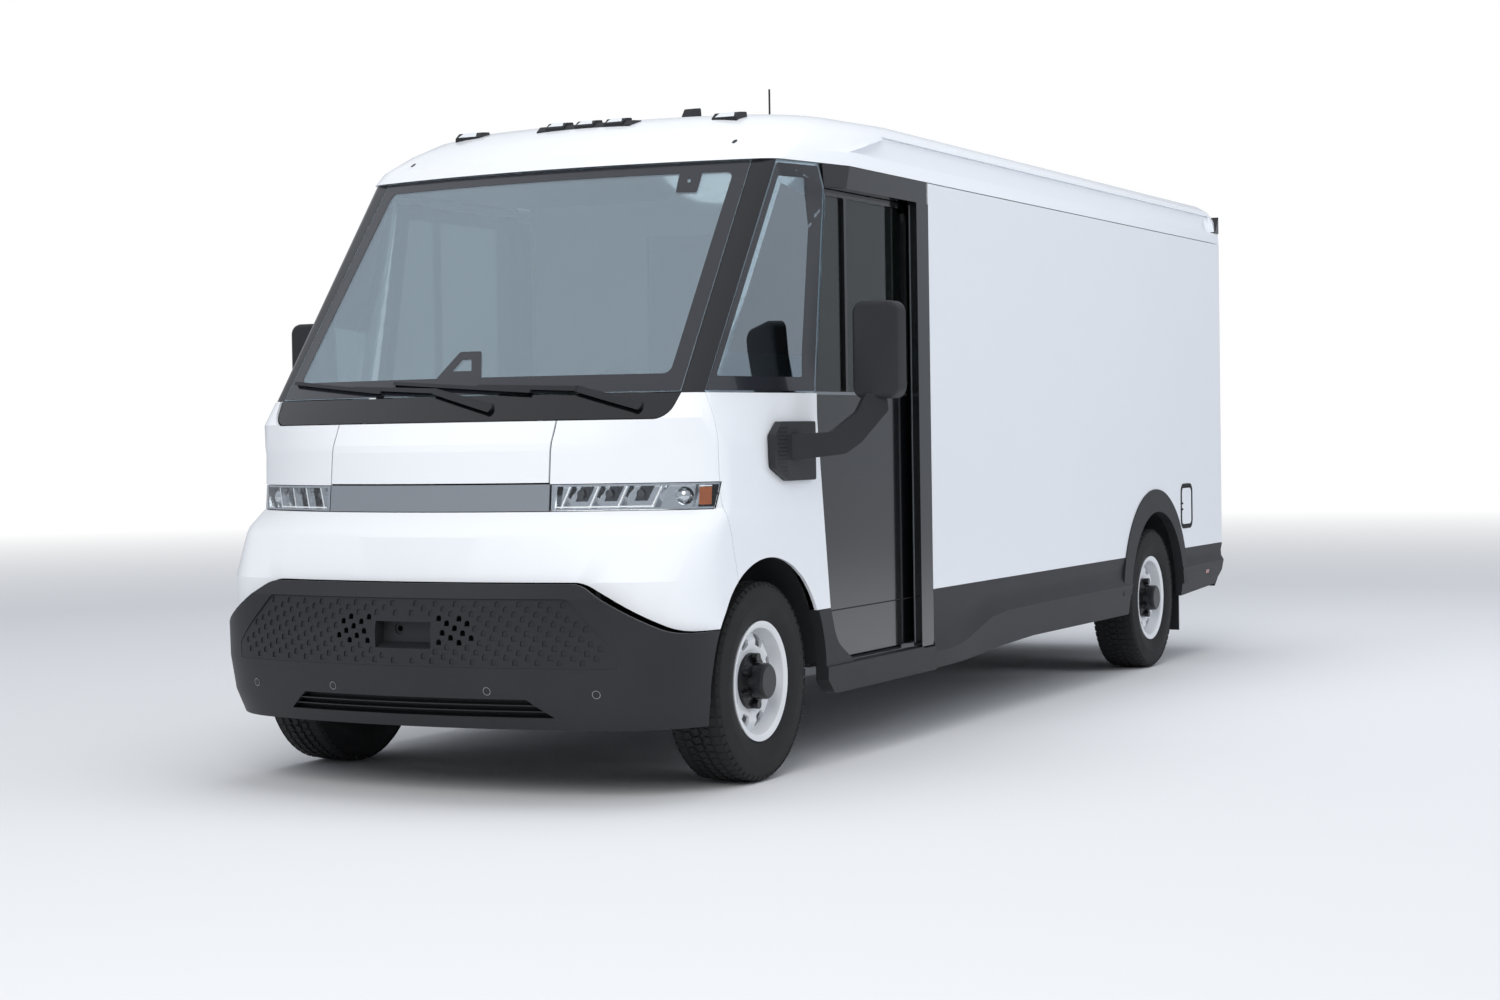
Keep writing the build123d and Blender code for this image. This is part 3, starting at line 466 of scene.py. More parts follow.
# Laminated windscreen glass: clear with a faint green tinge.
clear_glass = material("laminated_glass_clear")
through_glass = add(clear_glass, "BsdfPrincipled", {
    "Base Color": srgb("#E4EFEC"), "Roughness": 0.0, "IOR": 1.45, "Transmission Weight": 1.0})
sky_sheen = add(clear_glass, "BsdfGlossy", {"Color": srgb("#D3E2EC"), "Roughness": 0.02})
finish(clear_glass, "MixShader", {0: 0.36, 1: through_glass.outputs[0], 2: sky_sheen.outputs[0]})

# Clear moulded polycarbonate of the lamps: bright and colourless.
lamp_lens = finish(material("polycarbonate_lens_clear"), "BsdfPrincipled", {
    "Base Color": srgb("#F7FAFC"), "Roughness": 0.0, "IOR": 1.45, "Transmission Weight": 1.0})

# Privacy glass of the doors: dark grey-green, still see-through.
tinted_glass = finish(material("tempered_glass_tinted"), "BsdfPrincipled", {
    "Base Color": srgb("#78827F"), "Roughness": 0.0, "IOR": 1.5, "Transmission Weight": 1.0})

# Brushed anodised aluminium: satin silver; its brush lines are too fine to show.
satin_metal = finish(material("anodised_aluminium_brushed"), "BsdfPrincipled", {
    "Base Color": srgb("#B9BDC1"), "Roughness": 0.32, "Metallic": 1.0})

# Vacuum-metallised lamp bowl: bright mirror.
lamp_chrome = finish(material("metallised_reflector"), "BsdfPrincipled", {
    "Base Color": srgb("#D8DADC"), "Roughness": 0.12, "Metallic": 1.0})

# Moulded lamp module: dark smoked plastic with a glassy face; also laid in the headlamp cells as painted dark
# reflection.
module_and_painted_dark = finish(material("smoked_module_and_painted_dark"), "BsdfPrincipled", {
    "Base Color": srgb("#3A3D42"), "Roughness": 0.12, "Metallic": 0.6, "Coat Weight": 1.0, "Coat Roughness": 0.02})

# Silvered glass of the mirrors.
mirror_silver = finish(material("silvered_mirror_glass"), "BsdfPrincipled", {
    "Base Color": srgb("#E6E8EA"), "Roughness": 0.02, "Metallic": 1.0})

# Dyed acrylic tail lamp lens: deep clear red.
red_lens = finish(material("acrylic_lens_red"), "BsdfPrincipled", {
    "Base Color": srgb("#8E0F12"), "Roughness": 0.12, "Coat Weight": 0.6, "Coat Roughness": 0.04})

# Moulded EPDM gasket: matt black rubber.
rubber_black = finish(material("epdm_gasket_black"), "BsdfPrincipled", {
    "Base Color": srgb("#1A1A1B"), "Roughness": 0.75})

# Ceramic frit fired onto the glass: flat black-grey with a glassy top.
ceramic_frit = finish(material("fired_ceramic_frit"), "BsdfPrincipled", {
    "Base Color": srgb("#24262C"), "Roughness": 0.16, "Coat Weight": 0.6, "Coat Roughness": 0.02})

# Clear amber polycarbonate of the indicators.
amber_lens = finish(material("polycarbonate_lens_amber"), "BsdfPrincipled", {
    "Base Color": srgb("#C4621A"), "Roughness": 0.15, "Coat Weight": 0.6, "Coat Roughness": 0.04})

# Clear acrylic light guides of the headlamps: white edges with a painted glint, a faint glow that stands in for the
# daylight catching them.
painted_glint_guide = finish(material("acrylic_guide_painted_glint"), "BsdfPrincipled", {
    "Base Color": srgb("#FBFCFE"), "Roughness": 0.1, "Emission Color": srgb("#FFFFFF"), "Emission Strength": 0.35})

# Frosted opal acrylic of the roof lamps and the rear reversing lamp.
opal_lens = finish(material("opal_acrylic_lens"), "BsdfPrincipled", {
    "Base Color": srgb("#DDE1E6"), "Roughness": 0.2, "Coat Weight": 0.5, "Coat Roughness": 0.05})

# Plain extruded aluminium of the door strips: satin and pale; the strip on the jamb is also a painted highlight along
# the black post's edge.
satin_strip_and_painted_highlight = finish(material("extruded_aluminium_and_painted_highlight"), "BsdfPrincipled", {
    "Base Color": srgb("#9EA2A6"), "Roughness": 0.35, "Metallic": 1.0})

# Woven polyester seat cloth: black with a fine 2 mm weave, drawn at 4 mm so that it shows.
seat_cloth = material("woven_polyester_black")
place = add(seat_cloth, "TexCoord").outputs["Object"]
weave = add(seat_cloth, "TexVoronoi", {"Vector": place, "Scale": 1 / 0.004})
threads = add(seat_cloth, "Bump", {"Height": weave.outputs["Distance"], "Strength": 0.4, "Distance": 0.001})
finish(seat_cloth, "BsdfPrincipled", {
    "Base Color": srgb("#1F2022"), "Roughness": 0.95, "Sheen Weight": 0.3, "Normal": threads.outputs["Normal"]})

# Powder-coated steel of the wheels: bright white, semi-gloss.
white_wheel = finish(material("powder_coated_steel_white"), "BsdfPrincipled", {
    "Base Color": srgb("#E3E5E8"), "Roughness": 0.38, "Coat Weight": 0.3, "Coat Roughness": 0.15})

# Vulcanised tyre rubber: nearly black, with a little grey road dust on the tread.
tyre_rubber = material("vulcanised_rubber_tyre")
place = add(tyre_rubber, "TexCoord").outputs["Object"]
dust = add(tyre_rubber, "TexNoise", {"Vector": place, "Scale": 1 / 0.06, "Detail": 3.0})
tone = add(tyre_rubber, "Mix", {
    0: dust.outputs["Fac"], 6: srgb("#171718"), 7: srgb("#242425")}, data_type="RGBA")
finish(tyre_rubber, "BsdfPrincipled", {"Base Color": tone.outputs[2], "Roughness": 0.78})

# Finish of each solid that is shown as it is
node_finish = {
    "white_paint": (white_paint, ["side_panel_left", "side_panel_right", "roof", "front_fascia", "fenders", "hood",
                                  "rear_portal", "rollup_door", "charge_door"]),
    "black_plastic": (black_plastic, ["front_bumper", "side_cladding", "rear_bumper", "mirrors", "wipers",
                                      "roof_lamps", "wheel_liners"]),
    "gloss_black": (gloss_black, ["cab_trim", "cowl_panel", "door_left", "door_right"]),
    "frame_black": (frame_black, ["chassis_frame", "cab_frame", "front_suspension", "rear_axle"]),
    "battery_case": (battery_case, ["battery_pack"]),
    "cast_metal": (cast_metal, ["knuckle_left", "knuckle_right"]),
    "floor_grey": (floor_grey, ["floor", "step_wells"]),
    "interior_grey": (interior_grey, ["pocket_liners", "bulkhead"]),
    "interior_dark": (interior_dark, ["dashboard", "steering_wheel"]),
    "clear_glass": (clear_glass, ["windshield"]),
    "lamp_lens": (lamp_lens, ["headlamp_lenses"]),
    "tinted_glass": (tinted_glass, ["quarter_glass", "door_glass_left", "door_glass_right"]),
    "satin_metal": (satin_metal, ["light_bar"]),
    "lamp_chrome": (lamp_chrome, ["headlamps"]),
    "mirror_glass": (mirror_silver, ["mirror_glass"]),
    "red_lens": (red_lens, ["tail_lamps"]),
    "rubber_black": (rubber_black, ["charge_port"]),
    "seat_fabric": (seat_cloth, ["driver_seat"]),
    "white_wheel": (white_wheel, ["wheel_front_left", "wheel_front_right", "wheel_rear_left", "wheel_rear_right"]),
}
for surface, names in node_finish.values():
    for name in names:
        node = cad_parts[name]
        node.data.materials.clear()
        node.data.materials.append(surface)


# Tyres: ribbed carcass spun about the axle, with tread blocks and shoulder lugs
TYRE_HALF = 0.1121
TREAD_R = 0.3698
GROOVE = 0.0085


def tyre_profile():
    """Half section of the tyre, as (x, radius), from the outer bead over the tread to the inner bead."""
    outer = [
        (0.0860, 0.2060), (0.0905, 0.2140), (0.0925, 0.2235), (0.0960, 0.2300), (0.1020, 0.2400), (0.1075, 0.2530),
        (0.1108, 0.2680), (TYRE_HALF, 0.2860), (TYRE_HALF, 0.2960), (0.1110, 0.2985), (0.1112, 0.3020),
        (0.1090, 0.3130), (0.1088, 0.3190), (0.1062, 0.3300), (0.1062, 0.3390), (0.1020, 0.3500), (0.0975, 0.3570),
        (0.0925, 0.3612), (0.0880, 0.3622),
    ]
    ribs = []
    for low, high in ((0.0595, 0.0500), (0.0235, 0.0140)):
        ribs += [(low, 0.3622), (low - 0.001, 0.3614), (high + 0.001, 0.3614), (high, 0.3622)]
    half = outer + ribs
    return half + [(-x, r) for x, r in reversed(half)]


def make_tyre(name, side, axle_y):
    """One tyre with its tread, in place on its wheel."""
    mesh = bmesh.new()
    verts = [mesh.verts.new((x, 0.0, r)) for x, r in tyre_profile()]
    edges = [mesh.edges.new((verts[i], verts[i + 1])) for i in range(len(verts) - 1)]
    inner = [mesh.verts.new((x, 0.0, r)) for x, r in ((-0.07, 0.207), (-0.095, 0.29), (-0.075, 0.345),
                                                      (0.075, 0.345), (0.095, 0.29), (0.07, 0.207))]
    chain = [verts[-1]] + inner + [verts[0]]
    edges += [mesh.edges.new((chain[i], chain[i + 1])) for i in range(len(chain) - 1)]
    bmesh.ops.spin(mesh, geom=verts + inner + edges, cent=(0, 0, 0), axis=(1, 0, 0), angle=2 * math.pi, steps=120,
                   use_merge=True)
    bmesh.ops.remove_doubles(mesh, verts=mesh.verts, dist=1e-6)
    bmesh.ops.recalc_face_normals(mesh, faces=mesh.faces)
    # Tread rows: place across, width, blocks round the tyre and skew
    rows = [(0.0, 0.0245, 66, 0.28), (0.0368, 0.0235, 66, -0.3), (-0.0368, 0.0235, 66, 0.3),
            (0.0745, 0.0270, 60, 0.12), (-0.0745, 0.0270, 60, -0.12)]
    for x, width, count, skew in rows:
        pitch = 2 * math.pi / count
        length = pitch * TREAD_R * 0.86
        for index in range(count):
            turn = Matrix.Rotation(index * pitch + (0.5 * pitch if x < 0 else 0.0), 4, "X")
            stud = Matrix.Translation((x, 0, TREAD_R - GROOVE / 2)) @ Matrix.Rotation(skew, 4, "Z")
            made = bmesh.ops.create_cube(mesh, size=1.0,
                                         matrix=turn @ stud @ Matrix.Diagonal((width, length, GROOVE, 1.0)))
            top = [vert for vert in made["verts"] if (turn.inverted() @ vert.co).z > TREAD_R - 0.002]
            centre = sum((vert.co for vert in top), Vector()) / 4
            for vert in top:
                vert.co = centre + (vert.co - centre) * 0.9
                reach = math.hypot(vert.co.y, vert.co.z)
                drop = TREAD_R - 0.9 * vert.co.x ** 2
                vert.co.y *= drop / reach
                vert.co.z *= drop / reach
    for index in range(60):
        for way in (1, -1):
            turn = Matrix.Rotation(index * math.pi / 30, 4, "X")
            lug = Matrix.Translation((way * 0.0985, 0, 0.3555)) @ Matrix.Rotation(way * 0.75, 4, "Y")
            bmesh.ops.create_cube(mesh, size=1.0, matrix=turn @ lug @ Matrix.Diagonal((0.016, 0.028, 0.008, 1.0)))
    place = Matrix.Translation((side * WHEEL_X, axle_y, HUB_Z))
    if side < 0:
        bmesh.ops.scale(mesh, vec=(-1, 1, 1), verts=mesh.verts)
        bmesh.ops.reverse_faces(mesh, faces=mesh.faces)
    bmesh.ops.transform(mesh, matrix=place, verts=mesh.verts)
    new_piece(f"tyre_tread_{name}", mesh, tyre_rubber, f"wheel_{name}", smooth=35, replaces=f"tyre_{name}")


for wheel in WHEELS:
    make_tyre(*wheel)


# Outer panels and trim. Level outlines: height, nose y, nose radius, corner radius, how far the side stands in
# from BODY at the nose and behind the taper, and the y where the taper ends, in millimetres.
BODY = 1030.0
REACH = 1230.0
SEAM = 4.0
WALL = 12.0
GLASS = 10.0
NOSE = [
    (300, -3318, 3000, 400, 45, 0, -2850), (600, -3314, 3000, 390, 42, 0, -2850),
    (770, -3305, 3000, 300, 18, 0, -2119), (925, -3290, 2000, 260, 22, 0, -2119),
    (950, -3279, 1900, 240, 26, 0, -2119), (1008, -3228, 1640, 200, 34, 0, -2119),
    (1016, -3224, 1600, 190, 35, 0, -2119), (1110, -3214, 1600, 180, 38, 0, -2119),
    (1228, -3200, 1660, 180, 45, 0, -2119), (1254, -3190, 1760, 175, 52, 0, -2119),
    (1337, -3130, 2455, 150, 82, 0, -2119), (1426, -3056, 2600, 110, 113, 0, -2119),
]
CAB = [
    (1337, -3117, 2455, 90, 128, 0, -2119), (1426, -3044, 2600, 60, 125, 0, -2119),
    (2312, -2320, 3470, 45, 162, 0, -1775),
]
BUMPER = [
    (255, -3314, 2900, 430, 60, 4, -2850), (345, -3360, 2900, 410, 50, -2, -2850),
    (475, -3386, 2900, 400, 45, -4, -2850), (600, -3390, 2900, 400, 45, -4, -2850),
    (715, -3372, 3000, 390, 42, -4, -2850), (775, -3322, 3400, 370, 32, -4, -2850),
]
ROOF = [
    (2314, -2336, 3400, 100, 145, 0, -1775), (2366, -2304, 3200, 190, 145, 4, -1700),
    (2440, -2185, 2800, 270, 170, 24, -1500), (2500, -2065, 2500, 350, 210, 68, -1300),
    (2535, -1945, 2200, 380, 260, 130, -1150), (2552, -1790, 2000, 400, 330, 194, -1000),
]
FENDER_SEAM = [(-2845, 1500), (-2845, 1050, 200), (-2755, 700), (-2755, 500)]


def nose_shell():
    return cut(loft(NOSE, 0.0, -1900.0), loft(NOSE, WALL, 0.0))


def cab_shell():
    return cut(loft(CAB, 0.0, -1000.0), loft(CAB, GLASS, 0.0))


def front_arch(gap):
    return rod(454.0 + gap, "x", -REACH, REACH, -2520.0, 370.0, steps=144)


def ahead_of_seam(offset):
    line = [(point[0] + offset, *point[1:]) for point in FENDER_SEAM]
    return side_zone([(-3600, 1500)] + line + [(-3600, 500)])


def below_bumper_edge(offset):
    right = [(BODY - 375, 770 + offset, 130), (BODY - 75, 592 + offset, 150), (REACH, 592 + offset)]
    left = [(-point[0], *point[1:]) for point in reversed(right)]
    return prism([(-REACH, 0)] + left + right + [(REACH, 0)], "y", -3600, -2700)


def cowl_area(offset):
    half = BODY - 158 + offset
    foot = 1337 - offset
    return prism([(-half, 1427), (-half + 20, foot, 60), (half - 20, foot, 60), (half, 1427)], "y", -3400, -2600)


def lamp_band():
    return side_zone([(-3600, 1110), (-2830, 1110), (-2860, 1012), (-3600, 1012)])


# White nose and fenders
nose = meet(nose_shell(), ahead_of_seam(0.0))
nose = cut(nose, front_arch(0.0), lamp_band(), below_bumper_edge(0.0), cowl_area(SEAM),
           block(-472, 472, -3600, -2900, 1109, 1426.5))
finished(nose, "nose_panels", "white_paint", replaces="front_fascia")
fender_zone = side_zone([(-3600, 1426), (-2108, 1426), (-2108, 1330, 400), (-2016, 640, 300), (-2010, 604),
                         (-3600, 604)])
fenders = meet(nose_shell(), cut(fender_zone, ahead_of_seam(SEAM)))
finished(cut(fenders, front_arch(0.0), lamp_band()), "fender_panels", "white_paint", replaces="fenders")

# Windscreen, side trims and quarter glass of the cab
TRIM_FOOT = 1428.0


def screen_area(offset):
    foot, top = 868 + offset, 828 + offset
    return prism([(-foot, TRIM_FOOT), (foot, TRIM_FOOT), (top, 2312.5), (-top, 2312.5)], "y", -3200, -2100)


cowl = meet(cab_shell(), cowl_area(0.0), block(-REACH, REACH, -3400, -2600, 1337, 1430))
finished(cowl, "cowl_cover", "gloss_black", replaces="cowl_panel")
screen_piece = cut(meet(cab_shell(), screen_area(0.0)), block(-REACH, REACH, -3400, -2600, 1337, 1430))
screen_piece = finished(screen_piece, "windshield_pane", "clear_glass", replaces="windshield")
pillars = meet(cab_shell(), side_zone([(-3600, TRIM_FOOT), (-2838, TRIM_FOOT), (-2182, 2312.5), (-3600, 2312.5)]))
pillars = cut(pillars, screen_area(2.0))
header = meet(cab_shell(), prism([(-1950, 2222), (-985, 2222), (-985, 2312), (-1930, 2312)], "x", 828, REACH))
header = together(header, meet(block(982, REACH, -1925, -985, 2222, 2312), loft(CAB, GLASS - 1.0, 0.0)),
                  block(992, BODY, -1110, -985, 380, 2222))
finished(pillars, "pillar_trims", "gloss_black", replaces="cab_trim")
finished(header, "door_headers", "gloss_black", mirrored=True)
quarter_piece = meet(cab_shell(), side_zone([(-2836.5, TRIM_FOOT), (-2118, TRIM_FOOT), (-1952, 2220), (-1952, 2312),
                                             (-2180.5, 2312)]))
quarter_piece = finished(quarter_piece, "quarter_panes", "clear_glass", replaces="quarter_glass")

# Roof cap with its side scallops, and the lamps on it
roof_inner = [(level[0] - 37.8, *level[1:]) for level in ROOF]
roof_piece = cut(loft(ROOF, 0.0, 3328.0), loft(roof_inner, 42.0, 3286.0))
scallop = prism([(BODY - 27, 2372), (REACH, 2372), (REACH, 2470), (BODY - 57, 2470)], "y", -1750, 3268)
scallop = cut(scallop, prism([(-1800, 2300), (-1740, 2372), (-1360, 2460), (-1340, 2600), (-1800, 2600)], "x",
                             900, REACH))
roof_piece = finished(cut(roof_piece, scallop, copied(scallop, side=-1)), "roof_cap", "white_paint", smooth=24,
                      replaces="roof")
wedge = prism([(3262, 2373), (3329.5, 2373), (3329.5, 2468)], "x", BODY - 56, BODY - 1)
finished(wedge, "roof_end_wedges", "gloss_black", mirrored=True)


def lamp_wedge(x, half, y0, y1, low_z, high_z):
    return prism([(y0, 2440), (y0 + 3, low_z, 5), (y0 + 32, high_z - 6, 12), (y1 - 8, high_z, 8), (y1, 2440)], "x",
                 x - half, x + half)


lamp_body = join(lamp_wedge(0, 215, -2068, -1960, 2500, 2528),
                 *[lamp_wedge(x, 42, -2062, -1972, 2512, 2540) for x in (-135, 0, 135)],
                 lamp_wedge(-595, 55, -1995, -1895, 2510, 2538), lamp_wedge(595, 55, -1995, -1895, 2510, 2538),
                 prism([(-1600, 2545), (-1540, 2620, 20), (-1470, 2630, 10), (-1460, 2545)], "x", 180, 220),
                 rod(4, "z", 2545, 2732, 380, -1150, 16), rod(16, "z", 2545, 2566, 380, -1150, 24))
lamp_piece = finished(cut(lamp_body, loft(ROOF, 0.0, 3328.0)), "roof_lamp_bodies", "black_plastic",
                      replaces="roof_lamps")

# Bumper with its air slot, and the dimpled and pierced grille panel with the tow recess
bumper_piece = cut(loft(BUMPER, 0.0, -1900.0), loft(BUMPER, WALL, 0.0))
bumper_piece = cut(meet(bumper_piece, below_bumper_edge(-SEAM)), front_arch(8.0),
                   block(-REACH, REACH, -2800, -1800, 0, 1000))


def slot_area(grow):
    return prism([(-560 - grow * 1.5, 300 - grow), (560 + grow * 1.5, 300 - grow), (470 + grow * 1.5, 366 + grow),
                  (-470 - grow * 1.5, 366 + grow)], "y", -3600, -3000)


def grille_area(grow):
    right = [(800 + grow, 476 - grow, 12), (808 + grow, 530, 40), (629 + grow * 0.6, 716 + grow, 45)]
    return prism(right + [(-point[0], *point[1:]) for point in reversed(right)], "y", -3600, -2900)


bumper_piece = cut(bumper_piece, slot_area(0.0), grille_area(0.0))
duct = meet(slot_area(4.0), cut(loft(BUMPER, WALL - 2.0, 0.0), loft(BUMPER, 40.0, 0.0)))
duct = cut(duct, cut(slot_area(0.0), loft(BUMPER, 36.0, 0.0)))
slats = [cut(meet(block(-560, 560, -3600, -3000, z - 2, z + 2), slot_area(1.0), loft(BUMPER, 6.0, 0.0)),
             loft(BUMPER, 37.0, 0.0)) for z in (344, 322)]
bumper_piece = finished(together(bumper_piece, duct, *slats), "bumper_panel", "black_plastic",
                        replaces="front_bumper")
GRILLE = [(level[0], level[1] + back, *level[2:]) for level, back in zip(BUMPER[1:], (0.5, 0.5, 3, 6, 6))]
grille = cut(meet(loft(GRILLE, 0.0, -1900.0), grille_area(-0.5)), loft(GRILLE, 6.0, 0.0))
tray = meet(block(-123, 123, -3500, -3326, 529, 639), loft(GRILLE, 3.0, 0.0))
ledge = prism([(-3400, 534), (-3329, 534), (-3329, 558)], "x", -117, 117)
grille = cut(join(grille, tray), cut(block(-117, 117, -3500, -3330, 535, 633), ledge),
             rod(21, "y", -3400, -3300, -48, 604, 32))
DIMPLE = [(-10, -10), (10, -10), (10, 4), (5, 10), (-5, 10), (-10, 4)]
TOP_ROW_Z = 697.0
ROW_PITCH = 16.7
ROW_SHIFT = 33.0
COLUMN_PITCH = 81.0
DIMPLE_DEPTH = 3.5
PIERCED_DEPTH = 12.0
pierced = {3: (148, 229), 4: (181, 262), 5: (214,), 6: (166, 247), 7: (199, 280), 8: (151, 232)}  # x by row
dimples = []
for row in range(13):
    z = TOP_ROW_Z - ROW_PITCH * row
    x = (130.0 + ROW_SHIFT * row) % COLUMN_PITCH
    while x < min(629.0 + (716.0 - z) * 179 / 186 - 24.0, 752.0):
        if x > 14.0 and not (521 < z < 650 and x < 135):
            deep = PIERCED_DEPTH if round(x) in pierced.get(row, ()) else DIMPLE_DEPTH
            dimples += [
                through([[(side * (x + a), face_depth(GRILLE, x + a, z + b) + depth, z + b) for a, b in DIMPLE]
                         for depth in (-4.0, deep)]) for side in (-1, 1)]
        x += COLUMN_PITCH
finished(cut(grille, together(*dimples)), "bumper_grille_panel", "black_plastic")

# Headlamp housings: pockets between slanted dividers
lamp_zone = prism([(-3600, 1107), (-2833, 1107), (-2863, 1015), (-3600, 1015)], "x", 474, REACH)
housing = meet(cut(loft(NOSE, 10.0, -1900.0), loft(NOSE, 60.0, 0.0)), lamp_zone)
dividers = [(486, 8), (525, 29), (620, 29), (711, 29), (818, 29), (939, 16), (1001, 0)]  # x and lean
for (inner, inner_lean), (outer, outer_lean) in zip(dividers, dividers[1:]):
    left = inner + 4.5
    right = outer - 4.5
    pocket = prism([(left - inner_lean / 2, 1022), (right - outer_lean / 2, 1022), (right + outer_lean / 2, 1100),
                    (left + inner_lean / 2, 1100)], "y", -3400, -2700)
    housing = cut(housing, cut(pocket, loft(NOSE[4:9], 48.0, 0.0)))
housing = finished(housing, "headlamp_housings", "lamp_chrome", mirrored=True, replaces="headlamps")

# Side cladding: corner piece, sill below the door, creased panels and the rear wheel flare
cladding = prism([(-2126, 602), (-2012, 602), (-1960, 470, 150), (-1790, 380, 60), (-1790, 340), (-2126, 340)], "x",
                 986, BODY + 2)
sill = prism([(-2110, 380), (-1116, 380), (-1116, 374), (-985, 374), (-985, 275), (-2000, 275, 60)], "x", 986,
             BODY + 10)


def cladding_section(y, crease, bottom):
    rise = 610 - crease
    return [(986, y, 610), (BODY + 1, y, 610), (BODY - 7, y, crease + rise * 0.6), (BODY - 5, y, crease + rise * 0.3),
            (BODY + 10, y, crease + 3), (BODY + 8, y, crease - 5), (BODY - 14, y, bottom), (986, y, bottom)]


# Sections: y, height of the crease and of the lower edge
front_rows = [(-985, 345, 275), (-846, 347, 275), (-700, 358, 277), (-604, 376, 280), (-460, 414, 287),
              (-327, 446, 296), (-150, 460, 306), (245, 465, 319), (1800, 466, 316)]
rear_rows = [(2400, 502, 345), (3328, 509, 385)]
cladding = join(cladding, sill, through([cladding_section(*row) for row in front_rows]),
                through([cladding_section(*row) for row in rear_rows]))
cladding = cut(cladding, prism([(3195, 368), (3329, 456), (3329, 200), (3195, 200)], "x", 0, REACH),
               rod(458, "x", 0, REACH, 2115, 370, 128), rod(462, "x", 0, REACH, -2520, 370, 128))
flare = cut(rod(554, "x", 986, BODY + 6, 2085, 393, 144), rod(458, "x", 0, REACH, 2115, 370, 128))
flare = meet(flare, block(0, REACH, 1000, 3200, 420, 1100))
cladding = finished(join(cladding, flare), "side_cladding_panels", "black_plastic", mirrored=True,
                    replaces="side_cladding")

# Mirrors: foot, cranked arm and head with recessed glass
foot = prism([(-2504, 1150, 20), (-2390, 1100, 20), (-2154, 1100, 10), (-2154, 1320, 10), (-2440, 1320, 20),
              (-2504, 1270, 20)], "x", BODY - 15, BODY + 15)
arm_points = [(-20, 1175, 8), (185, 1196, 40), (246, 1237, 40), (354, 1357, 20), (345, 1420), (268, 1420),
              (234, 1352, 60), (133, 1277, 40), (-20, 1274, 8)]
arm = through([[(BODY + 15 + 0.772 * a + 0.636 * d, -2330 + 0.636 * a - 0.772 * d, z)
                for a, z in rounded_path(arm_points)] for d in (-24, 24)])


def mirror_outline(grow):
    corner = 43.0 + grow
    x0, x1, z0, z1 = BODY + 170 - grow, BODY + 355 + grow, 1400 - grow, 1765 + grow
    return rounded_path([(x0, z0, corner), (x1, z0, corner), (x1, z1, corner), (x0, z1, corner)], 8)


head = through([[(x, y, z) for x, z in mirror_outline(grow)]
                for grow, y in ((-16, -2162), (-9, -2158), (-3, -2152), (0, -2142), (0, -2072))])
recess = through([[(x, y, z) for x, z in mirror_outline(-9)] for y in (-2077, -2060)])
mirror_piece = cut(join(foot, arm, cut(head, recess)), loft(NOSE, -0.3, -1900.0))
mirror_piece = finished(mirror_piece, "mirror_bodies", "black_plastic", smooth=30, mirrored=True,
                        replaces="mirrors")
glass = through([[(x, y, z) for x, z in mirror_outline(-10)] for y in (-2076.5, -2073)])
finished(glass, "mirror_panes", "mirror_glass", mirrored=True, replaces="mirror_glass")

# Wipers: pivots, arms and blades that follow the cowl and the glass. Each row holds (x, z) pairs: pivot, bend
# and end of the arm, then the two ends of the blade.
wiper_rows = [
    (741, 1384, 498, 1448, 102, 1464, -285, 1484, 326, 1443),
    (184, 1385, -82, 1451, -481, 1470, -829, 1498, -328, 1452),
]


def strip(x0, z0, half0, x1, z1, half1):
    return prism([(x0, z0 - half0), (x0, z0 + half0), (x1, z1 + half1), (x1, z1 - half1)], "y", -3400, -2600)


wiper_parts = []
for pivot_x, pivot_z, bend_x, bend_z, end_x, end_z, left_x, left_z, right_x, right_z in wiper_rows:
    for form, out_by, in_by in (
            (rod(15, "y", -3400, -2600, pivot_x, pivot_z, 24), -18, -0.3),
            (strip(pivot_x + 8, pivot_z - 3, 14, bend_x, bend_z, 11), -17, -8),
            (strip(bend_x + 5, bend_z, 9, end_x, end_z, 6), -17, -8),
            (strip(left_x, left_z, 6, right_x, right_z, 7), -18, -1)):
        wiper_parts.append(cut(meet(form, loft(CAB, out_by, -1000.0)), loft(CAB, in_by, -900.0)))
finished(together(*wiper_parts), "wiper_arms", "black_plastic", replaces="wipers")

# Wheels: dished disc with eight windows, and a black cap with nut covers round its tall centre
barrel_profile = [
    (-97.5, 220.5), (-89.5, 220.5), (-85.5, 204), (-65.5, 200), (-47.5, 178), (-5.5, 178), (12.5, 199), (85.5, 204),
    (89.5, 220.5), (97.5, 220.5), (97.5, 208), (91.5, 196), (77.5, 193), (14.5, 191), (-3.5, 170), (-49.5, 170),
    (-67.5, 192), (-91.5, 196), (-97.5, 208)]
disc_profile = [(24, 192.5), (36, 192.5), (60, 152), (58, 120), (51.5, 108), (51.5, 30), (39.5, 30), (39.5, 112),
                (46, 124), (48, 148)]
cap_profile = [(51.5, 30), (51.5, 104), (64, 102), (70, 76), (74, 67), (120, 65.2), (124, 64), (127.5, 61),
               (130.5, 56), (130.5, 1), (126.5, 1), (126.5, 56), (120, 60), (58, 60), (56, 30)]


def spun(profile, steps=96):
    """Closed ring turned about the X axis."""
    count = len(profile)
    verts = [(x, r * math.cos(t), r * math.sin(t)) for t in [i * 2 * math.pi / steps for i in range(steps)]
             for x, r in profile]
    faces = [[(i % steps) * count + j, (i % steps) * count + (j + 1) % count,
              ((i + 1) % steps) * count + (j + 1) % count, ((i + 1) % steps) * count + j]
             for i in range(steps) for j in range(count)]
    return working(verts, faces)


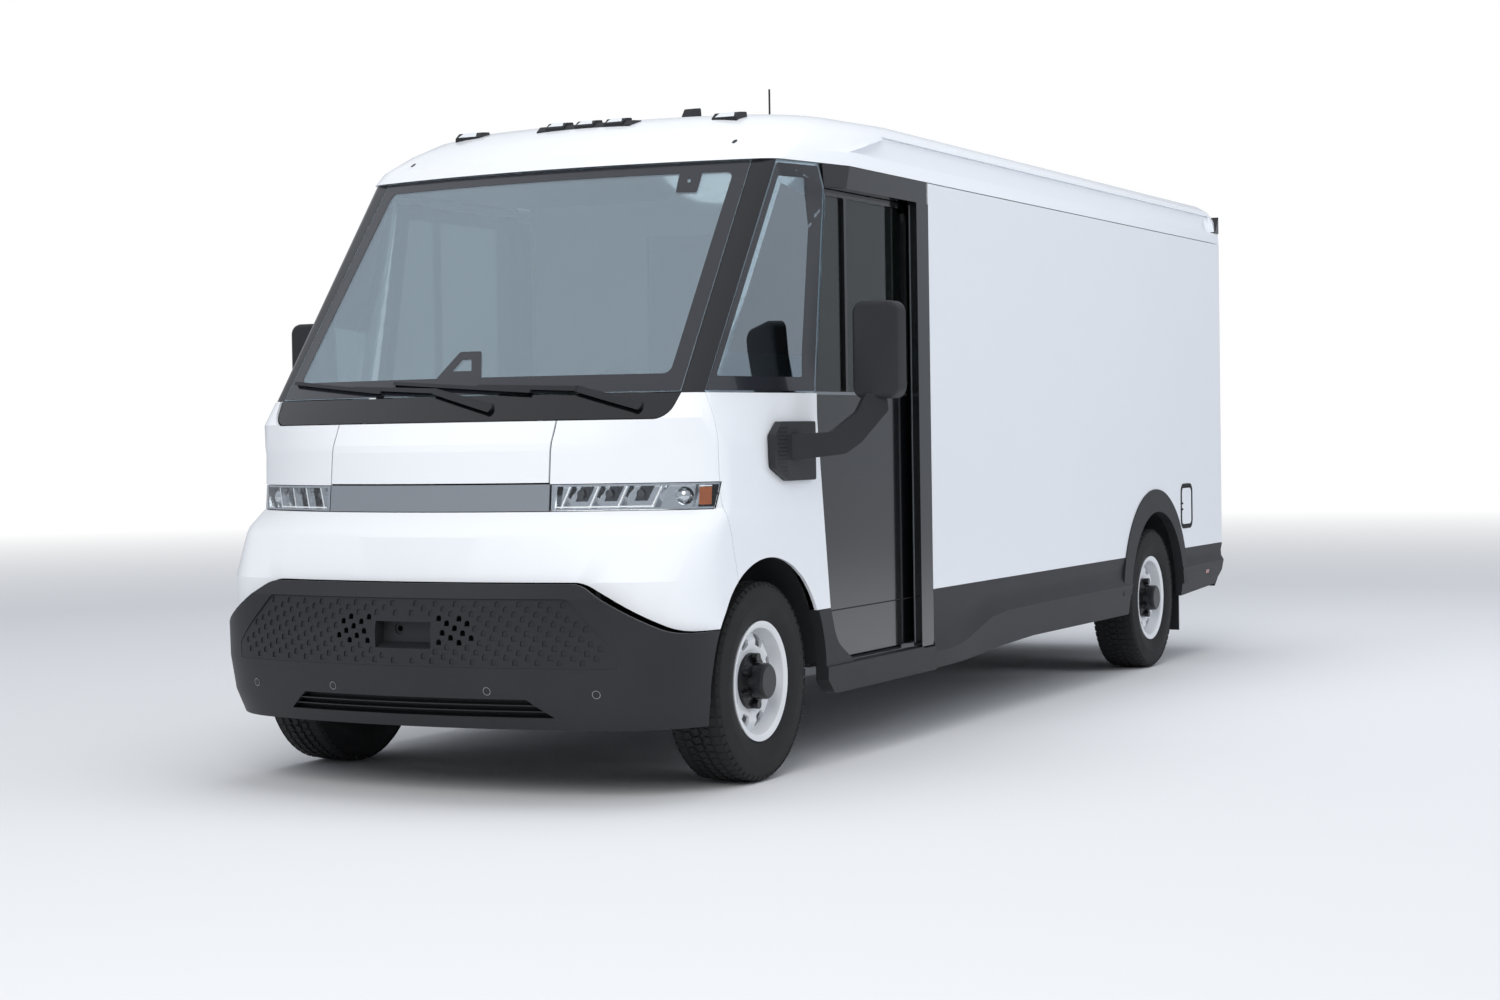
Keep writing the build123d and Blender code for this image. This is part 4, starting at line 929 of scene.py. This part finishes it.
rim = join(spun(barrel_profile), spun(disc_profile))
for index in range(8):
    window = prism([(-24, 131, 10), (24, 131, 10), (36, 178, 12), (-36, 178, 12)], "x", 10, 90)
    window.data.transform(Matrix.Rotation((index + 0.5) * math.pi / 4, 4, "X"))
    rim = cut(rim, window)
rim = join(rim, cut(join(rod(60, "x", -40, 40.5, 0, 0, 48), rod(150, "x", -32, -8, 0, 0, 96)),
                    rod(26, "x", -60, 20, 0, 0, 32)))
cap = spun(cap_profile, 72)
for index in range(6):
    cover = rod(17, "x", 60, 88, 0, 86, 28)
    cover.data.transform(Matrix.Rotation(index * math.pi / 3, 4, "X"))
    cap = join(cap, cover)
for name, side, axle_y in WHEELS:
    for source, kind, surface, slot in ((rim, "steel_wheel", white_wheel, "white_wheel"),
                                        (cap, "hub_cap", hub_plastic, "black_plastic")):
        shape = copied(source, (WHEEL_X * 1000, axle_y * 1000, HUB_Z * 1000), side)
        finished(shape, f"{kind}_{name}", slot, smooth=28, body=f"wheel_{name}", surface=surface,
                 replaces=f"wheel_{name}" if source == rim else None)
discard(rim)
discard(cap)

# Ceramic borders of the windscreen and the quarter glass, with the sensor housing and the aerial patch
screen = skin(screen_piece)
outer = walk([(-0.864, 1.434), (0.864, 1.434), (0.825, 2.308), (-0.825, 2.308)], [44, 24, 44, 24], 0.006)
inner = walk([(-0.808, 1.496), (0.808, 1.496), (0.773, 2.266), (-0.773, 2.266)], [44, 24, 44, 24], 0.03)
drape("windshield_border", screen, FRONT, ring(outer, inner, 3), 0.0008, ceramic_frit)
patches = [
    ("windshield_sensor_patch", [(0.578, 2.19), (0.66, 2.188), (0.652, 2.283), (0.562, 2.283)]),
    ("windshield_lower_patch", [(-0.105, 1.492), (0.095, 1.492), (0.045, 1.595), (-0.048, 1.595)]),
]
for patch_name, corners in patches:
    outer = walk(corners, [6, 4, 6, 4], 0.008)
    centre = Vector((sum(c[0] for c in corners) / 4, sum(c[1] for c in corners) / 4))
    share = 0.42 if "lower" in patch_name else 0.16
    inner = [tuple(centre + (Vector(point) - centre) * share) for point in outer]
    drape(patch_name, screen, FRONT, ring(outer, inner, 4), 0.0009, ceramic_frit)
quarter = skin(quarter_piece)
outer = walk([(-2.828, 1.434), (-2.126, 1.434), (-1.962, 2.205), (-1.962, 2.300), (-2.178, 2.300)],
             [26, 26, 4, 8, 26], 0.004)
inner = walk([(-2.752, 1.486), (-2.196, 1.486), (-2.058, 2.16), (-2.046, 2.250), (-2.182, 2.250)],
             [26, 26, 4, 8, 26], 0.012)
drape("quarter_glass_border", quarter, LEFT, ring(outer, inner, 3), 0.0008, ceramic_frit, mirrored=True)

# Parking sensors in the bumper
bumper = skin(bumper_piece)
for number, (x, z) in enumerate([(-0.724, 0.387), (-0.327, 0.394), (0.327, 0.394), (0.724, 0.387)]):
    drape(f"parking_sensor_{number}", bumper, FRONT, disc(x, z, (0.0145, 0.0125), 18), 0.0012, satin_strip_and_painted_highlight)
    drape(f"parking_sensor_face_{number}", bumper, FRONT, disc(x, z, (0.0125, 0.0085, 0.0005), 18), 0.0016,
          hub_plastic)

# Lenses of the roof lamps, and the two screws at the front edge of the roof
lamp_skin = skin(lamp_piece)
for number, x in enumerate((-0.595, -0.135, 0.0, 0.135, 0.595)):
    centre_lamp = abs(x) < 0.2
    low, high, half = (2.518, 2.5335, 0.034) if centre_lamp else (2.512, 2.5315, 0.042)
    grid = [[(x + t * half * (1.0 - 0.25 * step / 3), low + (high - low) * step / 3) for t in (-1, -0.4, 0.4, 1)]
            for step in range(4)]
    drape(f"roof_lamp_lens_{number}", lamp_skin, FRONT, grid, 0.0012, opal_lens)
roof_skin = skin(roof_piece)
for number, x in enumerate((-0.734, 0.734)):
    drape(f"roof_screw_{number}", roof_skin, FRONT, disc(x, 2.389, (0.0085, 0.0005), 12), 0.0015, hub_plastic)

# Headlamps: projector modules in the slanted cells, bowl, amber indicator, painted glints on the lower line and
# dividers, and painted dark reflection in the cells
lamp_back = skin(housing)
MODULE_RADIUS = 0.017
MODULE_DEPTH = 0.014
cells = bmesh.new()
for x in (0.560, 0.652, 0.750):
    middle = on_skin(lamp_back, FRONT, x, 1.072, 0.0) + Vector((0, -MODULE_DEPTH / 2, 0))
    bmesh.ops.create_cone(cells, cap_ends=True, segments=24, radius1=MODULE_RADIUS, radius2=MODULE_RADIUS * 0.86,
                          depth=MODULE_DEPTH,
                          matrix=Matrix.Translation(middle) @ Matrix.Rotation(math.pi / 2, 4, "X"))
new_piece("headlamp_modules", cells, module_and_painted_dark, smooth=40, mirrored=True)
bowl = bmesh.new()
middle = on_skin(lamp_back, FRONT, 0.875, 1.061, 0.0) + Vector((0, 0.008, 0))
bmesh.ops.create_uvsphere(bowl, u_segments=32, v_segments=16, radius=0.034, matrix=Matrix.Translation(middle))
new_piece("headlamp_bowls", bowl, lamp_chrome, smooth=60, mirrored=True)
lens_skin = skin("headlamp_lenses")
amber_rows = [[(0.944 + 0.008 * t, 1.030 + 0.062 * u) for t in range(5)] for u in (0.0, 0.5, 1.0)]
drape("indicator_lamps", lens_skin, FRONT, amber_rows, -0.0075, amber_lens, mirrored=True)
# Painted glints: glowing bright strips on the light guides along the lower line, the line over the amber lamp and the
# slanted dividers
painted_glints = [((0.497, 1.0255), (0.811, 1.0255), (0.811, 1.0305), (0.497, 1.0305)),
          ((0.942, 1.0945), (0.976, 1.0945), (0.976, 1.0985), (0.942, 1.0985))]
painted_glints += [((x - 0.0165, 1.024), (x - 0.0115, 1.024), (x + 0.0165, 1.099), (x + 0.0115, 1.099))
           for x in (0.525, 0.620, 0.711, 0.818)]
for number, corners in enumerate(painted_glints):
    drape(f"headlamp_painted_glint_{number}", lens_skin, FRONT, quad(*corners, 12), -0.0072, painted_glint_guide, mirrored=True)
# Painted dark reflection: dark smoked sheets on the upper part of the chrome cells, where the reflectors show dark
wedges = [((x + 0.012, 1.046), (x + 0.052, 1.046), (x + 0.073, 1.098), (x + 0.030, 1.098))
          for x in (0.525, 0.620, 0.716)]
for number, corners in enumerate(wedges):
    drape(f"headlamp_painted_dark_wedge_{number}", lamp_back, FRONT, quad(*corners, 4), 0.004, module_and_painted_dark, mirrored=True)

# Doors: strip under the window, lower split line, grab handle, and the bright strip on the jamb
for side_name, side in (("left", 1), ("right", -1)):
    bars(f"door_window_strip_{side_name}", satin_strip_and_painted_highlight, [
        ((0.0016, 0.985, 0.011), (side * 0.9708, -1.5925, 1.4285), 0.0004)], f"door_{side_name}")
    bars(f"door_trim_{side_name}", rubber_black, [
        ((0.0012, 1.100, 0.005), (side * 0.9706, -1.480, 0.582), 0.0004),
        ((0.014, 0.022, 0.120), (side * 0.9760, -2.076, 1.315), 0.005)], f"door_{side_name}")
    # Jamb strip: satin metal, partly silver trim and partly a painted highlight along the black post's front edge
    bars(f"door_jamb_painted_highlight_{side_name}", satin_strip_and_painted_highlight, [
        ((0.006, 0.004, 1.820), (side * 0.9980, -1.1125, 1.304), 0.001)])

# Small six-sided pads on the front part of the mirror feet
pads = bmesh.new()
foot_skin = skin(mirror_piece)
for row in range(14):
    for column in range(8):
        y = -2.476 + column * 0.0115 + (row % 2) * 0.00575
        z = 1.122 + row * 0.0145
        if y > -2.392 or (row < 3 and column < 2 - row * 0.5 + 1) or (row > 11 and column < 1):
            continue
        if z > 1.305 or z < 1.118 + max(0.0, -2.40 - y) * 0.45:
            continue
        place = Matrix.Translation(on_skin(foot_skin, LEFT, y, z, 0.0004)) @ Matrix.Rotation(math.pi / 2, 4, "Y")
        bmesh.ops.create_cone(pads, cap_ends=True, segments=6, radius1=0.0046, radius2=0.0036, depth=0.0016,
                              matrix=place)
new_piece("mirror_foot_pads", pads, hub_plastic, mirrored=True)

# Side markers on the cladding behind the rear wheels
cladding_skin = skin(cladding)
marker_rows = [[(2.995 + 0.062 * t / 5, z) for t in range(6)] for z in (0.452, 0.462, 0.472)]
drape("side_markers", cladding_skin, LEFT, marker_rows, 0.0015, red_lens, mirrored=True)


# Driver seat: cushion, back and head restraint of cloth-covered foam on a pedestal
def cushion(name, size, place, turn, round_by, puff):
    """Padded block with rounded edges and a domed face."""
    mesh = bmesh.new()
    bmesh.ops.create_cube(mesh, size=1.0)
    bmesh.ops.scale(mesh, vec=size, verts=mesh.verts)
    bmesh.ops.subdivide_edges(mesh, edges=mesh.edges[:], cuts=9, use_grid_fill=True)
    half = Vector(size) / 2
    for vert in mesh.verts:
        limit = [max(0.0, abs(vert.co[i]) - (half[i] - round_by)) for i in range(3)]
        reach = math.sqrt(sum(value * value for value in limit))
        if reach > round_by:
            for i in range(3):
                inner_part = half[i] - round_by
                if limit[i] > 0:
                    vert.co[i] = math.copysign(inner_part + limit[i] * round_by / reach, vert.co[i])
        swell = max(0.0, math.cos(vert.co.x / half.x * 1.4)) * max(0.0, math.cos(vert.co.y / half.y * 1.4))
        vert.co.z += puff * swell * (1 if vert.co.z > 0 else 0)
    bmesh.ops.transform(mesh, matrix=Matrix.Translation(place) @ turn, verts=mesh.verts)
    piece = new_piece(name, mesh, seat_cloth, smooth=60)
    return piece


lean = Matrix.Rotation(math.radians(80), 4, "X")
base = cushion("seat_cushion", (0.48, 0.46, 0.11), (0.45, -1.78, 1.09), Matrix.Identity(4), 0.04, 0.012)
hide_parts("driver_seat")
cushion("seat_back", (0.45, 0.62, 0.085), (0.45, -1.535, 1.44), lean, 0.038, 0.012)
cushion("seat_head_restraint", (0.27, 0.14, 0.07), (0.45, -1.49, 1.765), lean, 0.03, 0.004)
bars("seat_pedestal", interior_dark, [
    ((0.30, 0.32, 0.29), (0.45, -1.785, 0.852), 0.012), ((0.42, 0.36, 0.05), (0.45, -1.785, 1.018), 0.01),
    ((0.016, 0.016, 0.10), (0.40, -1.50, 1.72), 0.003), ((0.016, 0.016, 0.10), (0.50, -1.50, 1.72), 0.003)])

# Rear: lamp lenses, door pull, lock plate and top seal, and step tread
lens_rows = [(1.10, 1.21, 0), (0.98, 1.09, 1), (0.86, 0.97, 2), (0.78, 0.85, 0)]
bars("tail_lamp_lenses", [red_lens, amber_lens, opal_lens], [
    ((0.074, 0.010, high - low), (0.915, 3.3555, (low + high) / 2), 0.003, index) for low, high, index in lens_rows],
     mirrored=True)
bars("rear_door_pull", black_plastic, [
    ((0.26, 0.022, 0.030), (0.0, 3.285, 0.775), 0.006), ((0.10, 0.014, 0.060), (0.0, 3.281, 0.900), 0.004),
    ((1.60, 0.004, 0.004), (0.0, 3.329, 2.262), 0.001)])
bars("rear_step_tread", rubber_black, [
    ((1.60, 0.003, 0.0024), (0.0, 3.335 + 0.0058 * number, 0.6010), 0.0006) for number in range(9)])

# Studio: pale floor that runs out to white, white sky for the camera and soft light all round
floor_finish = material("studio_floor_pale")
place = add(floor_finish, "TexCoord").outputs["Object"]
distance = add(floor_finish, "VectorMath", {0: place}, operation="LENGTH")
fade = add(floor_finish, "MapRange", {
    "Value": distance.outputs["Value"], "From Min": 9.0, "From Max": 26.0, "To Min": 0.0, "To Max": 1.0})
path = add(floor_finish, "LightPath")
seen = add(floor_finish, "Math", {
    0: path.outputs["Is Camera Ray"], 1: path.outputs["Is Transmission Ray"]}, operation="MAXIMUM")
share = add(floor_finish, "Math", {0: fade.outputs["Result"], 1: seen.outputs[0]}, operation="MULTIPLY")
matt = add(floor_finish, "BsdfDiffuse", {"Color": srgb("#DCDDDF")})
glow = add(floor_finish, "Emission", {"Color": (1, 1, 1, 1), "Strength": 1.0})
finish(floor_finish, "MixShader", {0: share.outputs[0], 1: matt.outputs[0], 2: glow.outputs[0]})
FLOOR_RADIUS = 60.0
ground = bmesh.new()
bmesh.ops.create_circle(ground, cap_ends=True, segments=96, radius=FLOOR_RADIUS)
ground_data = bpy.data.meshes.new("studio_floor")
ground.to_mesh(ground_data)
ground.free()
ground_object = bpy.data.objects.new("studio_floor", ground_data)
ground_data.materials.append(floor_finish)
bpy.context.scene.collection.objects.link(ground_object)

world = bpy.data.worlds.new("studio_sky")
bpy.context.scene.world = world
world.use_nodes = True
world.node_tree.nodes.clear()
path = add(world, "LightPath")
way = add(world, "TexCoord")
height = add(world, "SeparateXYZ", {"Vector": way.outputs["Generated"]})
lift = add(world, "MapRange", {"Value": height.outputs["Z"], "From Min": -0.1, "From Max": 0.8})
shade = add(world, "Mix", {
    0: lift.outputs["Result"], 6: srgb("#C3C9D2"), 7: srgb("#F4F8FF")}, data_type="RGBA")
light_sky = add(world, "Background", {"Color": shade.outputs[2], "Strength": 0.72})
seen_sky = add(world, "Background", {"Color": (1, 1, 1, 1), "Strength": 1.0})
which = add(world, "MixShader", {
    0: path.outputs["Is Camera Ray"], 1: light_sky.outputs[0], 2: seen_sky.outputs[0]})
add(world, "OutputWorld", {"Surface": which.outputs[0]})

LAMPS = [
    ("key_softbox", (3.5, -12.0, 7.5), (0.0, -2.0, 1.0), 7.0, 620.0, "#FFFDF8"),
    ("side_softbox", (10.0, 3.0, 6.0), (0.6, 1.2, 1.0), 7.0, 260.0, "#F4F8FF"),
    ("top_softbox", (0.0, 0.0, 11.0), (0.0, 0.0, 0.0), 9.0, 420.0, "#FFFFFF"),
]
for lamp_name, spot, target, size, power, colour in LAMPS:
    lamp = bpy.data.lights.new(lamp_name, "AREA")
    lamp.shape = "DISK"
    lamp.size = size
    lamp.energy = power
    lamp.color = srgb(colour)[:3]
    holder = bpy.data.objects.new(lamp_name, lamp)
    aim = (Vector(target) - Vector(spot)).to_track_quat("-Z", "Y").to_matrix().to_4x4()
    holder.matrix_world = Matrix.Translation(spot) @ aim
    holder.visible_glossy = False
    bpy.context.scene.collection.objects.link(holder)

# Camera at the photograph's place, turn and lens
LENS = 60.217
CAMERA_PLACE = (5.0749, -10.727, 1.279)
YAW, PITCH, ROLL = 2.0368, -0.0267, -0.0158
camera_data = bpy.data.cameras.new("photo_camera")
camera_data.sensor_width = 36.0
camera_data.lens = LENS
camera = bpy.data.objects.new("photo_camera", camera_data)
bpy.context.scene.collection.objects.link(camera)
camera.matrix_world = (Matrix.Translation(CAMERA_PLACE) @ Matrix.Rotation(YAW - math.pi / 2, 4, "Z")
                       @ Matrix.Rotation(math.pi / 2 + PITCH, 4, "X") @ Matrix.Rotation(ROLL, 4, "Z"))
bpy.context.scene.camera = camera
bpy.context.scene.view_settings.view_transform = "Standard"
